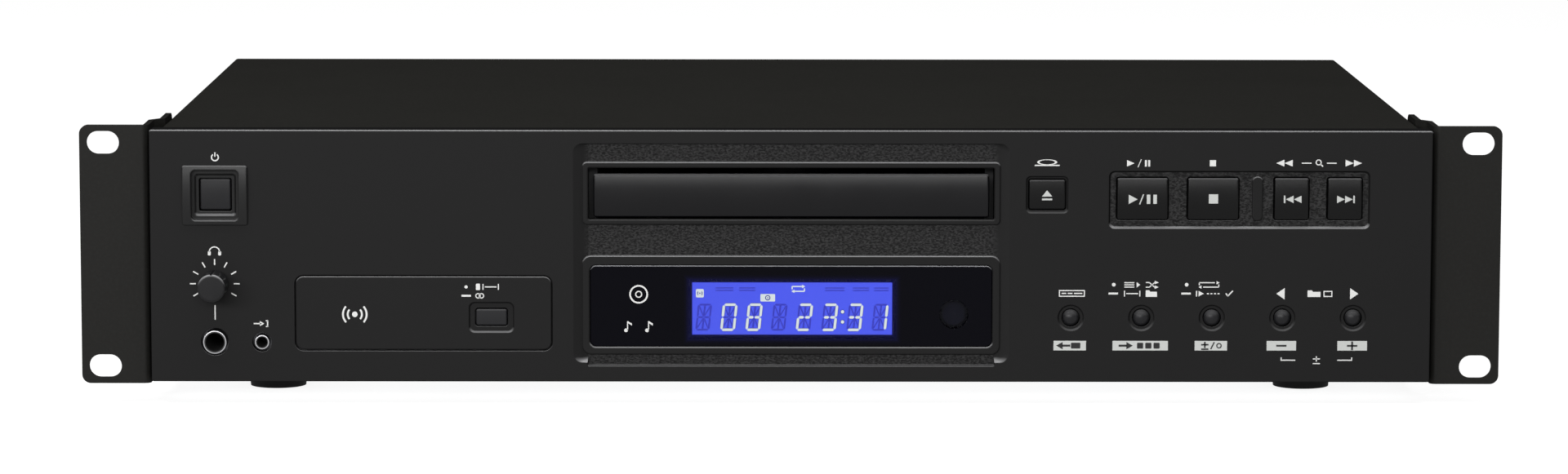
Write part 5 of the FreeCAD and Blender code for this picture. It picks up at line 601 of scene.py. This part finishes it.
def sign_phones(marks, x, z):
    marks.arc(x, z - 0.4, 1.75, MIDDLE, 0, 180)
    for side in (-1, 1):
        marks.soft_box(x + side * 1.75 - 0.5, z - 1.55, x + side * 1.75 + 0.5, z - 0.1, 0.3)


def sign_input(marks, x, z):
    marks.bar(x - 3.2, z, x - 0.6, z, BOLD)
    marks.arrow(x + 0.4, z, 1.5, 1.7)
    marks.bar(x + 1.5, z - 1.0, x + 1.5, z + 1.0, BOLD)
    marks.bar(x + 0.9, z + 1.0, x + 1.71, z + 1.0, THIN)
    marks.bar(x + 0.9, z - 1.0, x + 1.71, z - 1.0, THIN)


def sign_tray(marks, x, z):
    marks.bar(x - 4.2, z - 0.85, x + 4.2, z - 0.85, BOLD)
    marks.arc(x, z + 0.25, 3.0, 0.8, 0, 360, 32, 0.28)


def sign_play_pause(marks, x, z, height):
    marks.arrow(x - 1.15 * height, z, 1.15 * height, height)
    marks.bar(x - 0.62 * height, z - 0.62 * height, x - 0.1 * height, z + 0.62 * height, 0.12 * height)
    for start in (0.45, 0.95):
        marks.box(x + start * height, z - height / 2, x + (start + 0.3) * height, z + height / 2)


def sign_screen(marks, x, z):
    marks.frame(x - 4.4, z - 1.1, x + 4.4, z + 1.2, THIN)
    for start, length in ((-3.5, 1.6), (-1.4, 1.6), (0.7, 2.8)):
        marks.box(x + start, z - 0.15, x + start + length, z + 0.25)


def sign_order(marks, x, z):
    # Three lines, one above the other, and an arrow
    for i in range(3):
        marks.box(x - 3.0, z - 0.95 + 0.75 * i, x + 0.4, z - 0.6 + 0.75 * i)
    marks.arrow(x + 2.4, z, 1.2, 1.8)


def sign_span(marks, x, z):
    half = 2.6
    marks.bar(x - half, z - 1.0, x - half, z + 1.0, THIN)
    marks.bar(x + half, z - 1.0, x + half, z + 1.0, THIN)
    marks.bar(x - half + 0.6, z, x + half - 0.6, z, THIN)


def sign_shuffle(marks, x, z):
    for side in (-1, 1):
        marks.bar(x - 2.2, z - side * 0.8, x - 1.0, z - side * 0.8, FINE)
        marks.bar(x - 1.0, z - side * 0.8, x + 0.8, z + side * 0.8, FINE)
        marks.arrow(x + 2.2, z + side * 0.8, 1.4, 1.2)


def sign_check(marks, x, z):
    marks.bar(x - 1.1, z + 0.1, x - 0.35, z - 0.85, BOLD)
    marks.bar(x - 0.45, z - 0.85, x + 1.3, z + 1.0, BOLD)


def sign_loop(marks, x, z, size=1.0, width=THIN, reach=1.9):
    w = reach * size
    h = 0.75 * size
    marks.bar(x - w, z + h, x + w * 0.6, z + h, width)
    marks.arrow(x + w + 0.25 * size, z + h, 1.0 * size, 1.15 * size)
    marks.bar(x - w * 0.6, z - h, x + w, z - h, width)
    marks.arrow(x - w - 0.25 * size, z - h, -1.0 * size, 1.15 * size)
    marks.bar(x - w, z - h * 0.2, x - w, z + h, width)
    marks.bar(x + w, z - h, x + w, z + h * 0.2, width)


def sign_start(marks, x, z):
    marks.bar(x - 2.4, z - 0.95, x - 2.4, z + 0.95, FULL)
    marks.arrow(x + 0.1, z, 1.8, 1.9)
    for i in range(4):
        marks.box(x + 1.1 + 1.2 * i, z - 0.2, x + 1.8 + 1.2 * i, z + 0.2)


def sign_folder(marks, x, z, half=1.9):
    marks.box(x - half, z - 1.1, x + half, z + 0.65)
    marks.poly([(x - half, z + 0.65), (x - 0.35, z + 0.65), (x - 0.7, z + 1.15), (x - half, z + 1.15)])


def sign_search(marks, x, z):
    # Lens with its handle between two short lines
    marks.arc(x - 0.2, z + 0.25, 0.85, THIN, 0, 360)
    marks.bar(x + 0.45, z - 0.35, x + 1.3, z - 1.15, BOLD)
    for side in (-1, 1):
        marks.bar(x + side * 2.6, z, x + side * 5.9, z, THIN)


def sign_key(marks, x, z, side):
    # Arrow to one side, as on a shift key
    marks.bar(x - side * 2.4, z, x + side * 0.4, z, 0.7)
    marks.arrow(x + side * 2.4, z, side * 2.2, 2.5)


def sign_plus_minus(marks, x, z):
    stroke = 0.55
    marks.bar(x, z - 0.75, x, z + 1.35, stroke)
    marks.bar(x - 1.25, z + 0.35, x + 1.25, z + 0.35, stroke)
    marks.bar(x - 1.25, z - 1.2, x + 1.25, z - 1.2, stroke)


KEY_SIGNS = 82.4          # heights of the signs above the transport keys,
UPPER_SIGNS = 40.9        # of two rows above the round buttons,
LOWER_SIGNS = 37.9
LABELS = 20.1             # of the pale labels below those,
DEVICE_SIGNS = 15.15      # and of the lines beside the device button
LABEL_BOTTOM = 18.45
LABEL_TOP = 21.75
LABEL_SPANS = ((88.9, 99.9), (108.9, 127.7), (136.75, 147.75), (161.15, 171.15), (185.15, 195.2))


def print_front(m):
    marks = on_panel()
    print_ticks(marks)
    sign_power(marks, -194.3, 84.1)
    sign_phones(marks, KNOB[0], 52.2)
    sign_input(marks, -178.6, 27.4)
    sign_tray(marks, 86.3, KEY_SIGNS)
    sign_play_pause(marks, 118.3, 82.3, 2.2)
    marks.box(141.2, 81.3, 143.3, 83.4)
    for tip, length in ((163.65, -2.75), (166.45, -2.75), (189.8, 2.75), (192.6, 2.75)):
        marks.arrow(tip, KEY_SIGNS, length, 2.3)
    sign_search(marks, 178.15, KEY_SIGNS)
    sign_screen(marks, 95.0, LOWER_SIGNS)
    for x, dash in ((109.15, 109.0), (133.81, 133.66)):
        marks.disc(x, 40.96, 0.62)
        marks.box(dash - 1.6, 37.6, dash + 1.6, 38.25)
    sign_order(marks, 115.7, UPPER_SIGNS)
    sign_shuffle(marks, 122.2, UPPER_SIGNS)
    sign_span(marks, 115.4, LOWER_SIGNS)
    sign_folder(marks, 121.9, LOWER_SIGNS)
    sign_loop(marks, 141.4, UPPER_SIGNS, reach=3.3)
    sign_start(marks, 139.6, LOWER_SIGNS)
    sign_check(marks, 148.2, LOWER_SIGNS)
    marks.arrow(164.24, LOWER_SIGNS, -2.8, 3.9)
    marks.arrow(192.01, LOWER_SIGNS, 2.8, 3.9)
    sign_folder(marks, 177.0, LOWER_SIGNS, 2.2)
    marks.frame(180.2, 36.8, 183.2, 38.9, THIN)
    for x0, x1, tick in ((165.96, 170.96, 166.14), (185.16, 190.24, 190.06)):
        marks.bar(x0, DEVICE_SIGNS, x1, DEVICE_SIGNS, THIN)
        marks.bar(tick, 15.3, tick, 16.1, THIN)
    marks.bar(176.9, 15.6, 179.3, 15.6, THIN)
    marks.bar(178.1, 14.7, 178.1, 16.5, THIN)
    marks.bar(176.9, 14.0, 179.3, 14.0, THIN)
    marks.build("print_front", m["print_white"], "print_white")
    labels = on_panel()
    for x0, x1 in LABEL_SPANS:
        labels.box(x0, LABEL_BOTTOM, x1, LABEL_TOP)
    labels.build("print_labels", m["print_label"], "print_white")
    dark = Marks(PANEL_Y - 2 * PROUD, PANEL_Y - PROUD / 2)
    sign_key(dark, 92.2, LABELS, -1)
    dark.soft_box(94.8, LABELS - 1.0, 98.0, LABELS + 1.0, 0.3)
    sign_key(dark, 113.4, LABELS, 1)
    for x in (117.2, 120.0, 122.8):
        dark.soft_box(x, LABELS - 1.0, x + 2.1, LABELS + 1.0, 0.3)
    sign_plus_minus(dark, 140.2, LABELS)
    dark.bar(142.2, 18.9, 143.4, 21.3, 0.45)
    dark.arc(145.0, LABELS, 0.75, FULL, 0, 360)
    dark.bar(164.4, LABELS, 167.9, LABELS, HEAVY)
    dark.bar(188.4, LABELS, 191.9, LABELS, HEAVY)
    dark.bar(190.15, LABELS - 1.5, 190.15, LABELS + 1.5, HEAVY)
    dark.build("print_front_dark", m["print_dark"], "panel_black")


def print_wireless(m):
    # Waves on both sides of a dot, then the signs over the small window beside them
    marks = on_panel()
    x, z = -147.6, 30.6
    marks.disc(x, z, 0.95)
    for radius in (2.4, 4.0):
        for middle in (0, 180):
            marks.arc(x, z, radius, HEAVY, middle - 42, middle + 42, 12)
    marks.disc(-109.92, 39.98, 0.55)
    marks.box(-111.5, 36.64, -108.3, 37.31)
    marks.soft_box(-106.6, 38.9, -105.2, 41.1, 0.3)
    sign_span(marks, -101.6, 40.0)
    for link in (-105.9, -104.75):
        marks.arc(link, 36.95, 0.75, FINE, 0, 360)
    marks.build("print_wireless", m["print_white"], "print_white")


KEY_MIDDLE = 70.15        # height of the signs on the search buttons


def print_keys(m):
    def key(y, name, body, draw):
        marks = Marks(y - PROUD, y + 3 * SUNK)
        draw(marks)
        marks.build(name, m["print_label"], "print_white", body)

    def eject(marks):
        marks.poly([(84.6, 70.95), (88.1, 70.95), (86.35, 73.1)])
        marks.box(84.6, 69.7, 88.1, 70.3)

    def play(marks):
        marks.arrow(116.9, 70.1, 3.0, 3.2)
        marks.bar(117.6, 68.4, 118.9, 71.8, FULL)
        marks.box(120.0, 68.55, 121.2, 71.7)
        marks.box(122.2, 68.55, 123.4, 71.7)

    def stop(marks):
        marks.box(140.95, 68.7, 144.1, 71.85)

    def back(marks):
        marks.box(166.3, 68.9, 166.85, 71.4)
        for tip in (167.0, 169.7):
            marks.arrow(tip, KEY_MIDDLE, -2.6, 2.5)

    def forward(marks):
        for tip in (186.9, 189.6):
            marks.arrow(tip, KEY_MIDDLE, 2.6, 2.5)
        marks.box(189.75, 68.9, 190.3, 71.4)

    key(PANEL_Y, "print_open_close", "open_close_key", eject)
    key(TRANSPORT_Y, "print_play", "play_pause_key", play)
    key(TRANSPORT_Y, "print_stop", "stop_key", stop)
    key(TRANSPORT_Y, "print_back", "search_back_key", back)
    key(TRANSPORT_Y, "print_forward", "search_forward_key", forward)


# Window and display

MASK = (-67.5, 20.2, 67.5, 46.6)    # left, bottom, right and top of the black sheet behind the window
PIXEL = 0.27712           # millimetres on the screen for one pixel of the photograph
SCREEN_PIXEL = (847.3, 345.7)    # the photograph's pixel at the screen's upper left corner


def screen_point(px, py):
    return (SCREEN[0] + (px - SCREEN_PIXEL[0]) * PIXEL, SCREEN[3] - (py - SCREEN_PIXEL[1]) * PIXEL)


def window_mask(m):
    # Black sheet behind the window, in pieces round its openings for the screen and the receiver
    x0, z0, x1, z1 = MASK
    left, bottom, right, top = SCREEN
    eye_x, eye_z, eye = EYE
    marks = Marks(WINDOW_BACK + 0.05, WINDOW_BACK + 0.3)
    marks.box(x0, z0, left, z1)
    marks.box(left, z0, right, bottom)
    marks.box(left, top, right, z1)
    marks.box(right, z0, eye_x - eye, z1)
    marks.box(eye_x + eye, z0, x1, z1)
    for side, rim in ((1, z1), (-1, z0)):
        points = [(eye_x + side * eye, rim), (eye_x - side * eye, rim)]
        for i in range(13):
            angle = math.radians(180 - 15 * i)
            points.append((eye_x + side * eye * math.cos(angle), eye_z + side * eye * math.sin(angle)))
        marks.poly(points)
    marks.build("window_mask", m["window_ink"], "component_black")
    tint = Marks(WINDOW_BACK + 0.35, WINDOW_BACK + 0.45)
    tint.disc(eye_x, eye_z, eye + 0.4, 32)
    tint.build("receiver_filter", m["receiver_dark"], "receiver_dark")


def print_window(m):
    # Two rings for a disc, and two notes
    marks = Marks(WINDOW_Y - PROUD, WINDOW_Y + SUNK)
    marks.arc(-51.6, 37.4, 2.9, 0.55, 0, 360, 36)
    marks.arc(-51.6, 37.4, 1.0, FULL, 0, 360, 24)
    for x in (-55.9, -48.8):
        marks.disc(x, 25.1, 0.62)
        marks.box(x + 0.35, 25.1, x + 0.7, 28.2)
        marks.poly([(x + 0.7, 28.2), (x + 2.0, 27.4), (x + 2.0, 26.7), (x + 0.7, 27.5)])
    marks.build("print_window", m["print_white"], "print_white")


# Segments of one character, by their ends in a cell one wide and two high
SEGMENTS = {
    "a": ((0, 2), (1, 2)), "b": ((1, 2), (1, 1)), "c": ((1, 1), (1, 0)), "d": ((0, 0), (1, 0)),
    "e": ((0, 1), (0, 0)), "f": ((0, 2), (0, 1)), "g": ((0, 1), (0.5, 1)), "h": ((0.5, 1), (1, 1)),
    "i": ((0.5, 2), (0.5, 1)), "j": ((0.5, 1), (0.5, 0)), "k": ((0, 2), (0.5, 1)), "l": ((1, 2), (0.5, 1)),
    "m": ((0, 0), (0.5, 1)), "n": ((1, 0), (0.5, 1)),
}
DIAGONAL = "klmn"
SHOWN = {"0": "abcdef", "8": "abcdefgh", "2": "abdegh", "3": "abcdgh", "1": "bc", " ": ""}
CELL_WIDTH = 4.2
CELL_HEIGHT = 8.6
CELL_PITCH = 30.8 * PIXEL
SLANT = math.tan(math.radians(6.0))
BAR = 0.88                # width of a lit segment


def cell_bars(marks, left, bottom, letters, width):
    for letter in letters:
        diagonal = letter in DIAGONAL
        (u0, v0), (u1, v1) = SEGMENTS[letter]
        start = Vector((u0 * CELL_WIDTH, v0 * CELL_HEIGHT / 2))
        end = Vector((u1 * CELL_WIDTH, v1 * CELL_HEIGHT / 2))
        along = (end - start).normalized()
        gap = 0.35 if diagonal else 0.10
        start += along * (width / 2 + gap)
        end -= along * (width / 2 + gap)
        half = width / 2 * (0.7 if diagonal else 1.0)
        side = Vector((-along.y, along.x)) * half
        tip = along * half
        points = [start - tip, start + side, end + side, end + tip, end - side, start - side]
        marks.poly([(left + p.x + p.y * SLANT, bottom + p.y) for p in points])


def before_glass(front, back):
    return Marks(GLASS_Y - front, GLASS_Y - back)


def display(m):
    # Layers, from the glass forward: lit face, unlit segments and rim, outlines, lit segments, signs on them
    left, bottom, right, top = SCREEN
    lap = 0.2             # how far the face reaches behind the mask
    face = before_glass(0.05, 0.02)
    face.box(left - lap, bottom - lap, right + lap, top + lap)
    face.build("display_face", m["display_blue"], "display_lit")
    rim = before_glass(0.08, 0.05)
    rim.frame(left - lap, bottom - lap, right + lap, top + lap, 0.35)
    rim.build("display_edge", m["display_rim"], "display_lit")
    ghost = before_glass(0.08, 0.05)
    outline = before_glass(0.10, 0.07)
    lit = before_glass(0.14, 0.09)
    label = before_glass(0.17, 0.13)
    cell_x, cell_z = screen_point(852.5, 404.6)
    for place, digit in enumerate(" 08 2331"):
        x = cell_x + place * CELL_PITCH
        cell_bars(ghost, x, cell_z, SEGMENTS, BAR - 0.25)
        cell_bars(outline, x, cell_z, SHOWN[digit], BAR + 0.3)
        cell_bars(lit, x, cell_z, SHOWN[digit], BAR)
    # Dots between the numbers, and the loop
    for py in (382.3, 394.8):
        x, z = screen_point(1031.5, py)
        outline.disc(x, z, 0.78, 16)
        lit.disc(x, z, 0.58, 16)
    x, z = screen_point(977.3, 354.0)
    sign_loop(lit, x, z, 1.1, BOLD)
    # Badges: a disc, and waves
    x0, z0 = screen_point(931.0, 369.6)
    x1, z1 = screen_point(949.0, 360.4)
    lit.soft_box(x0, z0, x1, z1, 0.3)
    label.arc((x0 + x1) / 2, (z0 + z1) / 2, 0.75, 0.3, 0, 360)
    label.disc((x0 + x1) / 2, (z0 + z1) / 2, 0.22, 12)
    x, z = screen_point(857.0, 359.5)
    lit.soft_box(x - 1.35, z - 1.45, x + 1.35, z + 1.45, 0.5)
    label.disc(x, z, 0.25, 12)
    for start in (-45, 135):
        label.arc(x, z, 0.8, 0.28, start, start + 90, 10)
    label.build("display_label_signs", m["display_rim"], "display_lit")
    # Unlit signs
    for px, width in ((876, 22), (905, 20), (1010, 24), (1044, 20), (1070, 18)):
        x, z = screen_point(px, 354.0)
        ghost.box(x, z - 0.75, x + width * PIXEL, z - 0.35)
        ghost.box(x, z + 0.1, x + width * PIXEL, z + 0.5)
    ghost.build("display_ghosts", m["display_ghost"], "display_lit")
    outline.build("display_outlines", m["display_rim"], "display_lit")
    lit.build("display_segments", m["display_lit"], "display_lit")


# Rear panel

SOCKETS = {"left": 180.0, "right": 164.0, "coax": 132.0, "optical": 114.0}    # x
SOCKET_Z = 26.0
RING_COLORS = {"left": "insulator_white", "right": "insulator_red", "coax": "insulator_orange"}
RING = (2.42, 3.38)       # inner and outer radius of the coloured ring inside a socket
RING_START = REAR_Y - 0.2
RING_END = REAR_Y + 6.6
SOCKET_SIGNS = 40.2       # arrows above the sockets, and lines above those
SOCKET_LINES = 42.6
INLET_SIGN = (-165.0, 53.5)    # alternating current, in a ring


def rear_details(m):
    inner, outer = RING
    for socket, color in RING_COLORS.items():
        ring = Marks(RING_START, RING_END)
        ring.arc(SOCKETS[socket], SOCKET_Z, (inner + outer) / 2, outer - inner, 0, 360, 40)
        ring.build("ring_" + socket, m[color], color)
    marks = Marks(REAR_FACE - SUNK, REAR_FACE + PROUD)
    for x in SOCKETS.values():
        marks.bar(x - 2.2, SOCKET_SIGNS, x + 0.6, SOCKET_SIGNS, FULL)
        marks.arrow(x + 2.2, SOCKET_SIGNS, 1.7, 1.9)
    for x0, x1 in ((158.0, 186.0), (108.0, 138.0)):
        marks.bar(x0, SOCKET_LINES, x1, SOCKET_LINES, 0.35)
    x, z = INLET_SIGN
    marks.arc(x, z, 2.6, FULL, 0, 360, 36)
    parts = [i / 24 for i in range(25)]
    wave = [(x - 1.6 + 3.2 * part, z + 0.8 * math.sin(2 * math.pi * part)) for part in parts]
    for (xa, za), (xb, zb) in zip(wave, wave[1:]):
        marks.bar(xa, za, xb, zb, THIN)
    marks.build("print_rear", m["print_white"], "print_white")


# Studio

def stage_material():
    n = material_nodes("floor_white")
    matt = n.add("ShaderNodeBsdfDiffuse", {"Color": (0.3, 0.3, 0.3)})
    glow = n.add("ShaderNodeEmission", {"Color": WHITE, "Strength": n.math("MULTIPLY", n.seen(), 0.86)})
    return n.finish(n.both(matt, glow))


def make_world():
    world = bpy.data.worlds.new("studio")
    bpy.context.scene.world = world
    n = Nodes(world, "ShaderNodeOutputWorld")
    ambient = n.add("ShaderNodeBackground", {"Color": WHITE, "Strength": 0.3})
    background = n.add("ShaderNodeBackground", {"Color": WHITE, "Strength": 1.0})
    n.finish(n.mix(n.seen(), ambient, background))


def area_light(name, location, target, size, radiance):
    # Places and sizes in metres; radiance is the lamp's brightness, whatever its size
    width, height = size
    data = bpy.data.lights.new(name, "AREA")
    data.shape = "RECTANGLE"
    data.size = width
    data.size_y = height
    data.energy = radiance * math.pi * width * height
    data.color = WHITE
    light = bpy.data.objects.new(name, data)
    bpy.context.scene.collection.objects.link(light)
    light.location = location
    light.rotation_euler = (Vector(target) - Vector(location)).to_track_quat("-Z", "Y").to_euler()
    light.visible_camera = False


def make_studio():
    mesh = bmesh.new()
    bmesh.ops.create_grid(mesh, x_segments=1, y_segments=1, size=20.0)
    data = bpy.data.meshes.new("floor")
    mesh.to_mesh(data)
    mesh.free()
    data.materials.append(stage_material())
    floor = bpy.data.objects.new("floor", data)
    bpy.context.scene.collection.objects.link(floor)
    make_world()
    area_light("top_softbox", (-0.25, -0.4, 1.4), (-0.25, -0.3, 0.0), (1.8, 0.5), 7.0)
    area_light("front_softbox", (-0.6, -2.07, 0.57), (-0.1, -0.136, 0.05), (2.2, 0.34), 18.0)
    bpy.context.scene.view_settings.view_transform = "Standard"


# Nodes whose finish isn't that of their slot
FINISHES = {
    "rack_bracket_left": "bracket_black",
    "rack_bracket_right": "bracket_black",
    "power_bezel": "bezel_black",
    "loader_frame": "component_black",
}
for button in ("display", "play_mode", "repeat", "folder_back", "folder_next", "device", "power"):
    FINISHES[button + "_button"] = "button_black"

make_camera()
materials = make_materials()
for row in frame["record"]["subparts"]:
    finish = FINISHES.get(row["node"], row["material_slot"])
    for place in frame["nodes"][row["node"]].material_slots:
        place.material = materials[finish]
print_front(materials)
print_wireless(materials)
print_keys(materials)
window_mask(materials)
print_window(materials)
display(materials)
rear_details(materials)
make_studio()
